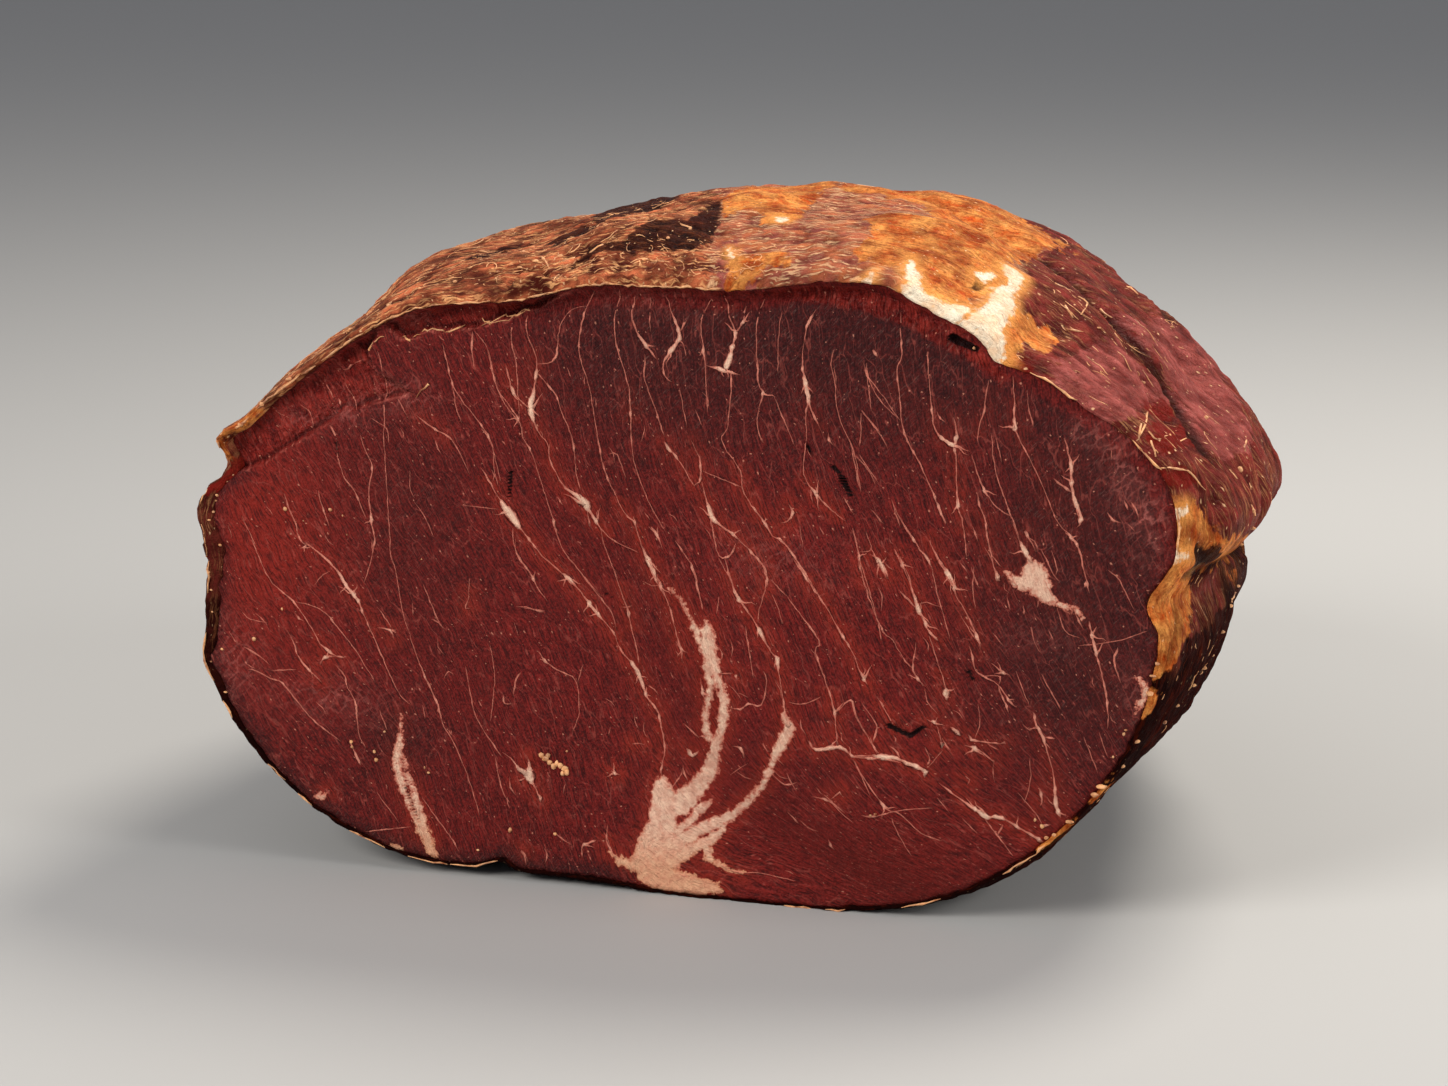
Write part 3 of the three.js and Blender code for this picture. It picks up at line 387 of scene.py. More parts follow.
# Ledges of meat that lie back from the cut: their depth in mm, and their corners in pixels
LEDGES = (
    (1.9, (383,320, 392,331, 400,339, 415,338, 426,330, 444,332, 452,329, 472,329, 486,325, 493,321,
      507,321, 518,313, 531,311, 543,304, 556,297, 575,288, 560,270, 500,280, 430,285, 390,297, 370,310)),
    (1.6, (226,474, 247,468, 263,463, 280,452, 298,441, 315,430, 329,422, 343,409, 352,411, 373,403,
      396,397, 412,394, 396,384, 374,372, 366,352, 376,336, 380,318, 350,330, 300,365, 260,400, 225,440)),
    (0.6, (640,282, 760,283, 850,287, 905,302, 950,316, 985,344, 1008,376, 1000,386, 978,366, 942,348,
      902,324, 862,312, 800,301, 740,298, 640,294)),
)
# Bright crumbs on the cut. A row gives pixel across, pixel down and mm across.
CUT_CRUMBS = (351,742,0.5, 352,747,0.4, 374,752,0.6, 376,760,0.6, 384,732,0.4, 428,773,0.5, 424,768,0.35,
    510,830,0.7, 555,834,0.6, 478,850,0.4, 285,509,0.55, 330,510,0.55, 282,609,0.4, 254,639,0.55,
    222,649,0.5, 972,350,0.6, 342,516,0.3, 346,535,0.3, 303,521,0.3, 1035,820,0.5, 1042,826,0.6,
    1046,838,0.6, 875,815,0.6, 870,816,0.4, 566,752,0.3, 1113,757,0.4, 1124,734,0.5, 1126,730,0.4,
    420,560,0.25)
CRUMB_CLUSTER = (541,756,0.9, 545,759,1, 549,763,1, 553,767,0.8, 556,764,0.8, 560,766,1, 564,769,0.9,
    566,773,0.9, 562,774,0.7, 547,756,0.7, 543,760,0.6)


# ---------------------------------------------------------------------------------------------
# Shape functions. Angles are in degrees round the rim, 0 at the right and 90 at the top.
def rows(numbers, count):
    """A flat table as an array with so many numbers a row."""
    return np.array(numbers, float).reshape(-1, count)


def smooth(x, low, high):
    t = np.clip((x - low) / (high - low), 0, 1)
    return t * t * (3 - 2 * t)


def hump(x, middle, width):
    return np.exp(-((x - middle) / width) ** 2)


def between(angle, low, high, soft=5):
    return smooth(angle, low - soft, low + soft) * (1 - smooth(angle, high - soft, high + soft))


def turn_to(angle, middle):
    return (angle - middle + 180) % 360 - 180


def spline(a, b, c, d, t):
    """A smooth curve from b, at t = 0, to c, at t = 1, between the neighbours a and d."""
    return 0.5 * (2 * b + (c - a) * t + (2 * a - 5 * b + 4 * c - d) * t ** 2
                  + (3 * b - a - 3 * c + d) * t ** 3)


def round_rim(values, angle):
    """A smooth closed curve through values that are spread evenly round the rim."""
    values = np.array(values, float)
    count = len(values)
    place = (np.asarray(angle, float) + 180) * count / 360 % count
    index = np.floor(place).astype(int)
    return spline(*(values[(index + step) % count] for step in (-1, 0, 1, 2)), place - index)


def rim_dents(angle):
    out = HORN_OUT * hump(turn_to(angle, HORN_AT), 0, HORN_WIDTH)
    for at, width, depth in RIM_DENTS:
        out -= depth * hump(turn_to(angle, at), 0, width)
    return out


def outline(angle):
    return round_rim(RIM_RADIUS, angle) + rim_dents(angle)


def rough(points, size, octaves=3):
    """Fractal noise of about -1 to 1 at each of many points, with lumps of one size."""
    seen = np.asarray(points, float) / size
    return np.array([noise.fractal(Vector(p), 0.9, 2.1, octaves) for p in seen])


def flat_rough(x, z, size, octaves=3):
    return rough(np.stack([x, np.zeros_like(x), z], 1), size, octaves)


def round_wobble(angle, size, seed):
    """Noise that runs round the rim and closes on itself, with lumps of one size in mm."""
    turn = np.radians(angle)
    radius = FLAT_RADIUS / size
    ring = np.stack([radius * np.cos(turn), radius * np.sin(turn), np.full_like(turn, seed)], 1)
    return rough(ring, 1, 2)


def ragged_outline(angle):
    return outline(angle) + 0.22 * round_wobble(angle, 1.6, 9.0)


def rind_width(angle):
    wide = round_rim(RIND_WIDTH, angle) * (1 + 0.35 * round_wobble(angle, 3.0, 2.0))
    return np.maximum(wide, 0.25)


def lip_ruffle(angle):
    """How far the lip waves to and fro, in mm."""
    return 0.3 * round_wobble(angle, 1.1, 5.0) + 0.22 * round_wobble(angle, 3.1, 9.0)


def lip_back(angle, gap):
    """How far the cut and the crust's lip lie back from the plane of the knife."""
    angle = np.asarray(angle, float) % 360
    share = 1 - gap / outline(angle)
    back = CUT_DISH * (1 - share ** 2) ** 2
    back = back - LIP_PROUD * between(angle, *LIP_SPAN) * (1 - smooth(gap, 0, LIP_WIDTH))
    back += SHADOW_DEPTH * between(angle, *SHADOW_SPAN) * hump(gap, SHADOW_GAP, SHADOW_WIDTH)
    horn = hump(turn_to(angle, HORN_AT), 0, HORN_WIDTH) * (1 - smooth(gap, 0, 2.5))
    return back - HORN_FORWARD * horn


def crust_lift(angle, y, share):
    """How far folds, string marks and bumps lift the crust."""
    fold = smooth(y, *FOLD_START) * (1 - smooth(y, *FOLD_END))
    turned = turn_to(angle, 0)
    lift = (SHOULDER[2] * hump(turned, *SHOULDER[:2]) - CREASE[2] * hump(turned, *CREASE[:2])
            - HOLLOW[2] * hump(turned, *HOLLOW[:2])) * fold
    turn = np.radians(angle)
    climb = MARK_CLIMB * np.maximum(0, np.sin(turn))
    above = between((angle + 30) % 360 - 30, 4, 200, 10) * smooth(y, 2, 10)
    above = above * (1 - smooth(share, 0.8, 1))
    for mark in range(MARK_COUNT):
        lift -= MARK_DEPTH * above * hump(y, MARK_FIRST + mark * MARK_PITCH + climb, MARK_WIDTH)
    lift += (PUCKER_HEIGHT * np.cos(PUCKER_COUNT * turn + 2 * np.sin(2 * turn))
             * smooth(share, 0.5, 0.85) * (1 - smooth(share, 0.9, 1)))
    bumps = np.sin(7 * turn + y / 9) + np.sin(13 * turn - y / 5) + np.sin(y / 4.3 + 3 * turn)
    return lift + UNEVEN * smooth(y, 2, 12) * bumps


def crust_place(angle, share, extra=0.0):
    """Points of the crust from the rim, share 0, to the tied end, share 1."""
    turn = np.radians(angle)
    q = np.sin(share * np.pi / 2)
    y = LENGTH * q
    taper = np.maximum(0, 1 - q ** END_FULLNESS) ** (1 / END_FULLNESS)
    near_end = np.minimum(1, 4 * taper)
    bulge = round_rim(BULGE, angle) * np.sin(np.pi * q ** 0.6) * near_end
    dents = rim_dents(angle) * (1 - smooth(y, *RIM_FADE))
    radius = round_rim(RIM_RADIUS, angle) * taper + dents + bulge
    radius += (crust_lift(angle, y, share) + extra) * near_end
    press = SAG * smooth(q, 0.02, 0.15) * np.clip(-1.6 * np.sin(turn), 0, 1)
    middle = MIDDLE_HEIGHT * (1 - END_DROP * (1 - taper))
    z = np.maximum(0, middle + radius * np.sin(turn) - press)
    return np.stack([END_DRIFT * q + radius * np.cos(turn), y, z], 1)


def frame_shift():
    """Where the middle of the cut lies in the frame, read from the solid's tied end."""
    tip = max(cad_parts[NODE].data.vertices, key=lambda vertex: vertex.co.y).co
    return np.array([tip.x - END_DRIFT * MM, tip.y - LENGTH * MM, 0.0])


SHIFT = frame_shift()


def in_frame(points):
    return np.asarray(points, float) * MM + SHIFT


def camera_axes():
    """The camera's place, and its right, up and backward directions, in the muscle's mm."""
    turn, rise = CAMERA_TURN, CAMERA_RISE
    backward = np.array([math.sin(turn) * math.cos(rise), -math.cos(turn) * math.cos(rise),
                         math.sin(rise)])
    right = np.array([math.cos(turn), math.sin(turn), 0.0])
    up = np.cross(backward, right)
    return np.array(CAMERA_AIM) + backward * CAMERA_DISTANCE, right, up, backward


def rays_through(pixels):
    eye, right, up, backward = camera_axes()
    pixels = np.asarray(pixels, float)
    reach = LENS / SENSOR * PHOTO_WIDTH
    rays = (np.outer(pixels[:, 0] - PHOTO_WIDTH / 2, right)
            - np.outer(pixels[:, 1] - PHOTO_HEIGHT / 2, up) - backward * reach)
    return eye, rays / np.linalg.norm(rays, axis=1)[:, None]


def on_cut(pixels):
    """Places on the cut, as X and Z in mm, that the photograph shows at these pixels."""
    eye, rays = rays_through(pixels)
    hits = eye - rays * (eye[1] / rays[:, 1])[:, None]
    return hits[:, [0, 2]]


def on_crust(pixels):
    """Places on the crust that the photograph shows at these pixels, in mm."""
    eye, rays = rays_through(pixels)
    found = []
    for ray in rays:
        hit = SOLID.ray_cast(Vector(in_frame(eye)), Vector(ray))[0]
        if hit is None:
            steps = [Vector(in_frame(eye + ray * far)) for far in range(400, 640, 2)]
            hit = min((SOLID.find_nearest(step) for step in steps), key=lambda near: near[3])[0]
        found.append((np.array(hit) - SHIFT) / MM)
    return np.array(found)


def solid_tree():
    """The solid as a tree that rays can be cast at, in the frame's metres."""
    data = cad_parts[NODE].data
    return BVHTree.FromPolygons([vertex.co for vertex in data.vertices],
                                [face.vertices for face in data.polygons])


def unroll(angle, y):
    """The crust laid flat: mm round it and mm back from the cut."""
    angle = (np.asarray(angle) + 150) % 360 - 150
    return np.stack([np.radians(angle) * FLAT_RADIUS, y], 1)


def unrolled(places):
    return unroll(np.degrees(np.arctan2(places[:, 2] - MIDDLE_HEIGHT, places[:, 0])), places[:, 1])


def polar(x, z):
    """Angle round the rim and gap in from it, of places on the cut."""
    angle = np.degrees(np.arctan2(z - MIDDLE_HEIGHT, x))
    return angle, outline(angle) - np.hypot(x, z - MIDDLE_HEIGHT)


# ---------------------------------------------------------------------------------------------
# Fields: how deep places lie inside strokes and patches, in mm, below zero outside them
def from_run(flat, ax, ay, bx, by):
    """How far along a straight run places lie, 0 to 1, and how far off it."""
    run_x, run_y = bx - ax, by - ay
    t = (flat[:, 0] - ax) * run_x + (flat[:, 1] - ay) * run_y
    t = np.clip(t / max(run_x ** 2 + run_y ** 2, 1e-6), 0, 1)
    return t, np.hypot(flat[:, 0] - ax - t * run_x, flat[:, 1] - ay - t * run_y)


def stroke_depth(flat, line):
    """Depth inside a chain of tapering strokes. A line holds a place and a width a point."""
    best = np.full(len(flat), -99.0)
    for (ax, ay, aw), (bx, by, bw) in zip(line, line[1:]):
        t, apart = from_run(flat, ax, ay, bx, by)
        best = np.maximum(best, (aw + (bw - aw) * t) / 2 - apart)
    return best


def patch_depth(flat, corners):
    """Depth inside a patch with these corners."""
    nearest = np.full(len(flat), 99.0)
    inside = np.zeros(len(flat), bool)
    for (ax, ay), (bx, by) in zip(corners, np.roll(corners, -1, 0)):
        nearest = np.minimum(nearest, from_run(flat, ax, ay, bx, by)[1])
        crosses = (ay > flat[:, 1]) != (by > flat[:, 1])
        slant = (bx - ax) / (by - ay) if by != ay else 0.0
        inside ^= crosses & (flat[:, 0] < ax + (flat[:, 1] - ay) * slant)
    return np.where(inside, nearest, -nearest)


def cut_line(chain):
    """A chain of (pixel, pixel, width) as (X, Z, width) on the cut."""
    chain = rows(chain, 3)
    return np.column_stack([on_cut(chain[:, :2]), chain[:, 2]])


def fine_lines():
    """Every fine vein as (X, Z, width) on the cut."""
    lines = []
    for (left, top, step), chains in FINE_VEINS.items():
        for chain in chains:
            lines.append(cut_line(rows(chain, 3) * (step, step, 0.1) + (left, top, 0)))
    return lines


def warped(x, z):
    """Places moved a little to and fro, so that drawn edges come out ragged."""
    return np.stack([x + 0.28 * flat_rough(x + 40, z, 1.3, 2), z + 0.28 * flat_rough(x, z + 90,
                                                                                    1.3, 2)], 1)


def fat_depth(x, z):
    """How deep places lie inside the thick fat of the cut, in mm."""
    flat = warped(x, z)
    best = np.full(len(x), -4.0)
    for chain in THICK_FAT.values():
        best = np.maximum(best, stroke_depth(flat, cut_line(chain)))
    return best


def fat_glow(x, z, fat):
    """How near places lie to fat, 0 to 1, where the meat is a brighter red."""
    flat = np.stack([x, z], 1)
    near = np.maximum(fat, -6)
    for line in FINE_LINES:
        if line[:, 2].max() > 0.65:
            wide = line[:, 2] > 0.5
            low, high = line[wide, :2].min(0) - 4, line[wide, :2].max(0) + 4
            here = ((flat > low) & (flat < high)).all(1)
            near[here] = np.maximum(near[here], stroke_depth(flat[here], line))
    return hump(np.minimum(near, 0), 0, 1.7)


def slit_depth(x, z):
    """How deep the slits and hollows of the cut are, in mm."""
    flat = np.stack([x, z], 1)
    deepest = np.zeros(len(x))
    for ax, ay, bx, by, width, depth in rows(SLITS, 6):
        inside = stroke_depth(flat, cut_line((ax, ay, width, bx, by, width * 0.6)))
        deepest = np.maximum(deepest, depth * smooth(inside, -0.3, width / 2))
    return deepest


def film_shares(x, z):
    """How much of a pinkish film lies over places of the cut."""
    total = np.zeros(len(x))
    for across, down, wide, high, share in rows(FILMS, 5):
        (cx, cz), (ex, ez) = on_cut([(across, down), (across + wide, down - high)])
        total += share * hump(x, cx, abs(ex - cx)) * hump(z, cz, abs(ez - cz))
    return np.clip(total, 0, 1)


def ledge_depth(flat, ledge):
    """Depth inside one of the ledges, in mm."""
    return patch_depth(flat, on_cut(rows(ledge[1], 2)))


def ledge_shares(x, z):
    """How far places lie on each of the ledges, 0 to 1."""
    flat = warped(x, z)
    return [smooth(ledge_depth(flat, ledge), -0.25, 0.3) for ledge in LEDGES]


def ledge_line(x, z):
    """The edges of the two upper ledges: 1 on their rims, where a highlight is painted, -1 in the painted
    shade behind these.
    """
    flat = warped(x, z)
    depth = np.maximum(ledge_depth(flat, LEDGES[0]), ledge_depth(flat, LEDGES[1]))
    return hump(depth, -0.12, 0.22) - hump(depth, 0.55, 0.4)


def cut_back(x, z, angle, gap):
    """The whole relief of the cut, in mm back from the plane of the knife."""
    back = lip_back(angle, gap)
    upper, left, under_lip = ledge_shares(x, z)
    past_lip = smooth(gap, 0.5, 1.3)
    back += (LEDGES[0][0] * upper + LEDGES[1][0] * left + LEDGES[2][0] * under_lip) * past_lip
    back += 0.5 * left * past_lip * flat_rough(x, z, 2.6, 2)
    back += 0.25 * upper * past_lip * flat_rough(x, z, 4.0, 2)
    back += slit_depth(x, z)
    return back + 0.10 * flat_rough(x, z, 7) + 0.035 * flat_rough(x, z, 1.2)


def lean_at(x, z):
    """The fibres' lean, in radians from downwards towards the right."""
    leans = rows(LEANS, 3)
    spots = on_cut(leans[:, :2])
    apart = (x[:, None] - spots[:, 0]) ** 2 + (z[:, None] - spots[:, 1]) ** 2
    weight = 1 / (apart + 60) ** 1.5
    return np.radians((weight * leans[:, 2]).sum(1) / weight.sum(1))


class GrainMap:
    """Coordinates that run across and along the muscle fibres, over a grid on the cut."""

    STEP = 2.0
    TOP = 110.0

    def __init__(self):
        self.xs = np.arange(-90, 90, self.STEP)
        self.zs = np.arange(-2, 104, self.STEP)
        grid_x, grid_z = np.meshgrid(self.xs, self.zs)
        x, z = grid_x.ravel().copy(), grid_z.ravel().copy()
        length = np.zeros(len(x))
        while (z < self.TOP).any():
            move = np.where(z < self.TOP, 1.5, 0.0)
            lean = lean_at(x, z)
            x -= np.sin(lean) * move
            z += np.cos(lean) * move
            length += move
        self.across = x.reshape(grid_x.shape)
        self.along = length.reshape(grid_x.shape)

    def read(self, x, z):
        column = np.clip((x - self.xs[0]) / self.STEP, 0, len(self.xs) - 1.001)
        row = np.clip((z - self.zs[0]) / self.STEP, 0, len(self.zs) - 1.001)
        c, r = column.astype(int), row.astype(int)
        s, t = column - c, row - r
        out = []
        for values in (self.across, self.along):
            out.append((values[r, c] * (1 - s) + values[r, c + 1] * s) * (1 - t)
                       + (values[r + 1, c] * (1 - s) + values[r + 1, c + 1] * s) * t)
        return np.stack([out[0], out[1], np.zeros(len(x))], 1)


def cut_tones(x, z, angle, gap):
    """Where the cut glows orange, where it is darker, mostly painted shade, and where the painted shadow
    under the crust's lip makes it a deep red.
    """
    glow = hump(x, -70, 14) * hump(z, 50, 19) + 0.3 * hump(x, -58, 16) * hump(z, 60, 14)
    glow *= smooth(gap, 1.0, 7.0)
    glow += 0.4 * hump(x, 33, 22) * hump(z, 8, 9)
    # Painted shade: darker at the top and the right of the cut, as the light fell, and along its lower left
    # rim; also two darker patches at the left
    dark = 0.9 * smooth(z, 58, 88) * between(x, -22, 60, 16)
    dark = np.maximum(dark, 0.8 * smooth(x, 34, 62) * smooth(z, 14, 38))
    dark = np.maximum(dark, 0.7 * hump(x, -46, 8) * hump(z, 22, 8))
    dark = np.maximum(dark, 0.45 * hump(x, -44, 13) * hump(z, 60, 22))
    dark = np.maximum(dark, 0.85 * between(angle % 360, 166, 262, 8) * (1 - smooth(gap, 1, 5)))
    # A painted shadow under the crust's lip, along the top of the cut and at its upper right
    shadow = between(angle % 360, 48, 112) * (1 - smooth(gap, 2.2, 4.2))
    right = between((angle + 90) % 360 - 90, 8, 46) * (1 - smooth(gap, 2.0, 4.0))
    lip_shade = np.clip(np.maximum(shadow, right), 0, 1)
    return np.stack([np.clip(glow, 0, 1), dark * (1 - lip_shade), lip_shade], 1)


# ---------------------------------------------------------------------------------------------
# Mesh helpers
def read_places(mesh):
    return np.array([vertex.co[:] for vertex in mesh.verts])


def write_places(mesh, places):
    for vertex, place in zip(mesh.verts, places):
        vertex.co = place


def settled(name, mesh):
    """Turns a bmesh into mesh data, and frees it."""
    data = bpy.data.meshes.new(name)
    mesh.to_mesh(data)
    mesh.free()
    return data


def shown(name, data):
    """Adds an object with this data to the scene."""
    item = bpy.data.objects.new(name, data)
    bpy.context.scene.collection.objects.link(item)
    return item


def make_piece(name, mesh, material):
    """Turns a bmesh in mm into a shown piece that rides on the body and stands for the solid."""
    write_places(mesh, in_frame(read_places(mesh)))
    bmesh.ops.recalc_face_normals(mesh, faces=mesh.faces)
    if mesh.calc_volume(signed=True) < 0:
        bmesh.ops.reverse_faces(mesh, faces=mesh.faces)
    for face in mesh.faces:
        face.smooth = True
    piece = shown(name, settled(name, mesh))
    piece.data.materials.append(bpy.data.materials[material])
    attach(piece, "root")
    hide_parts(NODE)
    return piece


def set_field(piece, name, values):
    """Stores three numbers at each vertex of a piece, for its material."""
    stored = piece.data.attributes.new(name, "FLOAT_VECTOR", "POINT")
    stored.data.foreach_set("vector", np.asarray(values, np.float32).ravel())


def piece_places(piece):
    places = np.empty(len(piece.data.vertices) * 3)
    piece.data.vertices.foreach_get("co", places)
    return (places.reshape(-1, 3) - SHIFT) / MM


def dress_cut(piece, veins=None):
    """Gives a piece that lies on the cut the fields that the meat's material reads."""
    places = piece_places(piece)
    x, z = places[:, 0], places[:, 2]
    angle, gap = polar(x, z)
    fat = fat_depth(x, z)
    set_field(piece, "grain", GRAIN.read(x, z))
    raw = np.clip(sum(ledge_shares(x, z)), 0, 1) * smooth(gap, 0.3, 1.2)
    set_field(piece, "fat", np.stack([fat, fat_glow(x, z, fat), raw], 1))
    set_field(piece, "tone", cut_tones(x, z, angle, gap))
    # Where the painted shade inside the slits goes; the film field also carries the ledges' painted shade
    # and highlight
    slit_shade = np.clip(slit_depth(x, z) / 0.7, 0, 1)
    set_field(piece, "film", np.stack([slit_shade, film_shares(x, z), ledge_line(x, z)], 1))
    set_field(piece, "vein", np.zeros((len(x), 3)) if veins is None else veins)


def spun_tube(length, turns):
    """A tube round Y, so many units and rows long, spun from a line of points."""
    mesh = bmesh.new()
    line = [mesh.verts.new((1, row, 0)) for row in range(length + 1)]
    for near, far in zip(line, line[1:]):
        mesh.edges.new((near, far))
    bmesh.ops.spin(mesh, geom=mesh.verts[:] + mesh.edges[:], cent=(0, 0, 0), axis=(0, 1, 0),
                   dvec=(0, 0, 0), angle=2 * math.pi, steps=turns, use_merge=True)
    return mesh


def smooth_line(points, step):
    """A line drawn smoothly through points, with marks about a step apart."""
    points = np.asarray(points, float)
    padded = np.vstack([2 * points[0] - points[1], points, 2 * points[-1] - points[-2]])
    out = []
    for i in range(len(points) - 1):
        length = np.linalg.norm((padded[i + 2] - padded[i + 1])[:2])
        count = max(1, int(round(length / step)))
        out += [spline(*padded[i:i + 4], k / count) for k in range(count)]
    out.append(points[-1])
    while len(out) < 4:
        out = [point for pair in zip(out, out[1:]) for point in (pair[0], (pair[0] + pair[1]) / 2)
               ] + [out[-1]]
    return np.array(out)


class StripMaker:
    """Collects thin closed strips, each laid along its own line on a surface."""

    SIDES = 4

    def __init__(self):
        self.mesh = bmesh.new()
        self.places, self.profiles = [], []
        self.shapes = {}

    def shape(self, count):
        """A plain strip of so many marks, and where each of its points lies on it."""
        if count not in self.shapes:
            strip = bmesh.new()
            bmesh.ops.create_cone(strip, cap_ends=True, segments=self.SIDES, radius1=1,
                                  radius2=1, depth=count - 1)
            long_edges = [edge for edge in strip.edges
                          if abs(edge.verts[0].co.z - edge.verts[1].co.z) > 0.5]
            bmesh.ops.subdivide_edges(strip, edges=long_edges, cuts=count - 2)
            marks = read_places(strip)
            marks[:, 2] = np.round(marks[:, 2] + (count - 1) / 2)
            self.shapes[count] = settled("strip", strip), marks
        return self.shapes[count]

    def lay(self, centres, normals, widths, rise, sink, strength=1.0, thick=0.0):
        data, marks = self.shape(len(centres))
        self.mesh.from_mesh(data)
        runs = np.gradient(centres, axis=0)
        sides = np.cross(normals, runs)
        sides /= np.maximum(np.linalg.norm(sides, axis=1), 1e-9)[:, None]
        station = marks[:, 2].astype(int)
        heights = np.where(marks[:, 1] > 0, marks[:, 1] * rise, marks[:, 1] * sink)
        half = widths[station] / 2
        self.places.append(centres[station] + sides[station] * (half * marks[:, 0])[:, None]
                           + normals[station] * heights[:, None])
        fade = np.broadcast_to(strength, len(centres))[station]
        rich = np.broadcast_to(thick, len(centres))[station]
        self.profiles.append(np.stack([1 - np.abs(marks[:, 0]), fade, rich], 1))

    def finish(self, name, material, slot):
        write_places(self.mesh, np.vstack(self.places))
        for data, _ in self.shapes.values():
            bpy.data.meshes.remove(data)
        bmesh.ops.recalc_face_normals(self.mesh, faces=self.mesh.faces)
        return make_piece(name, self.mesh, material), np.vstack(self.profiles)


def drop_on_cut(line):
    """Points of the cut's own surface in front of a line of (X, Z) places."""
    centres = []
    for x, z in line:
        hit = SURFACES["cut"].ray_cast(Vector((x, -30, z)), Vector((0, 1, 0)))[0]
        if hit is None:
            return None
        centres.append(hit)
    return np.array(centres)


def drop_on_crust(places):
    """Points of the crust nearest to places, with the directions out of it."""
    found = [SURFACES["crust"].find_nearest(Vector(place)) for place in places]
    centres = np.array([hit[0] for hit in found])
    normals = np.array([hit[1] for hit in found])
    outward = centres - (0, 0, MIDDLE_HEIGHT)
    outward[:, 1] = 0
    flip = (normals * outward).sum(1) < 0
    normals[flip] *= -1
    return centres, normals


# ---------------------------------------------------------------------------------------------
# Materials
VECTOR, NUMBER = "NodeSocketVector", "NodeSocketFloat"


def colour(red, green, blue):
    """A colour given as the eye sees it, 0 to 255, as the linear one that shaders take."""
    def linear(value):
        value /= 255
        return value / 12.92 if value <= 0.04045 else ((value + 0.055) / 1.055) ** 2.4
    return linear(red), linear(green), linear(blue), 1.0


class Nodes:
    """Adds nodes to one tree. The masks of the shader groups each have a method of their own."""

    def __init__(self, tree):
        self.tree = tree

    def add(self, kind, inputs, **settings):
        """Adds a node, sets it, and links or fills its inputs."""
        node = self.tree.nodes.new(kind)
        for name, value in settings.items():
            setattr(node, name, value)
        for name, value in inputs.items():
            if isinstance(value, bpy.types.NodeSocket):
                self.tree.links.new(value, node.inputs[name])
            else:
                node.inputs[name].default_value = value
        return node

    def math(self, operation, *values, clamp=False):
        return self.add("ShaderNodeMath", dict(enumerate(values)), operation=operation,
                        use_clamp=clamp).outputs[0]

    def vector(self, operation, inputs):
        return self.add("ShaderNodeVectorMath", inputs, operation=operation).outputs[0]

    def noise(self, vector, scale, detail, roughness=0.5):
        return self.add("ShaderNodeTexNoise", {"Vector": vector, "Scale": scale, "Detail": detail,
                                               "Roughness": roughness}).outputs

    def times(self, first, *others):
        """A product, kept between 0 and 1."""
        for value in others:
            first = self.math("MULTIPLY", first, value, clamp=True)
        return first

    def mix(self, factor, first, second):
        """Mixes two colours. Sockets 6 and 7 are the colour pair, and output 2 the result."""
        return self.add("ShaderNodeMix", {0: factor, 6: first, 7: second},
                        data_type="RGBA").outputs[2]

    def coat(self, base, *layers):
        """Lays colours over a base, each a (colour, mask, mask, ...)."""
        for tint, *masks in layers:
            base = self.mix(self.times(*masks), base, tint)
        return base

    def remap(self, value, low, high, to_low=0.0, to_high=1.0):
        return self.add("ShaderNodeMapRange", {"Value": value, "From Min": low, "From Max": high,
                        "To Min": to_low, "To Max": to_high},
                        interpolation_type="SMOOTHSTEP").outputs[0]

    def field(self, name):
        """A field that is stored at the piece's vertices."""
        return self.add("ShaderNodeAttribute", {}, attribute_name=name).outputs["Vector"]

    def parts(self, name):
        """The three numbers of a stored field."""
        return self.add("ShaderNodeSeparateXYZ", {0: self.field(name)}).outputs

    def mask(self, group, vector, **inputs):
        """Places a shader group and returns its mask."""
        return self.add("ShaderNodeGroup", dict(inputs, Vector=vector),
                        node_tree=bpy.data.node_groups[group]).outputs["Mask"]

    def mottle(self, vector, size, contrast):
        return self.mask("Mottle", vector, Size=size, Contrast=contrast)

    def streaks(self, vector, width, length, low, high, sway=0.0):
        return self.mask("Streaks", vector, Width=width, Length=length, Low=low, High=high,
                         Sway=sway)

    def webbing(self, vector, width, length, line, cover):
        return self.mask("Webbing", vector, Width=width, Length=length, Line=line, Cover=cover)

    def specks(self, vector, width, length, size, share):
        return self.mask("Specks", vector, Width=width, Length=length, Size=size, Share=share)


class Group(Nodes):
    """A shader group that is named, has a vector and numbers as inputs, and gives one mask."""

    def __init__(self, name, **numbers):
        super().__init__(bpy.data.node_groups.new(name, "ShaderNodeTree"))
        sockets = self.tree.interface
        sockets.new_socket("Vector", in_out="INPUT", socket_type=VECTOR)
        for label, default in numbers.items():
            sockets.new_socket(label, in_out="INPUT", socket_type=NUMBER).default_value = default
        sockets.new_socket("Mask", in_out="OUTPUT", socket_type=NUMBER)
        self.inside = self.tree.nodes.new("NodeGroupInput").outputs
        self.result = self.tree.nodes.new("NodeGroupOutput").inputs["Mask"]

    def give(self, mask):
        self.tree.links.new(mask, self.result)

    def scaled(self, vector, depth):
        """A vector counted in the group's widths across and lengths along."""
        width, length = (self.math("DIVIDE", 1.0, self.inside[n]) for n in ("Width", "Length"))
        scale = self.add("ShaderNodeCombineXYZ", {0: width, 1: length, 2: depth}).outputs[0]
        return self.vector("MULTIPLY", {0: vector, 1: scale})

    def bent(self, scale, amount):
        """The group's scaled vector, led astray by noise."""
        drawn = self.scaled(self.inside["Vector"], 0.0)
        centred = self.vector("SUBTRACT", {0: self.noise(drawn, scale, 2.0)["Color"],
                                           1: (0.5, 0.5, 0.5)})
        return drawn, self.vector("MULTIPLY_ADD", {0: centred, 1: (amount, amount, 0.0), 2: drawn})


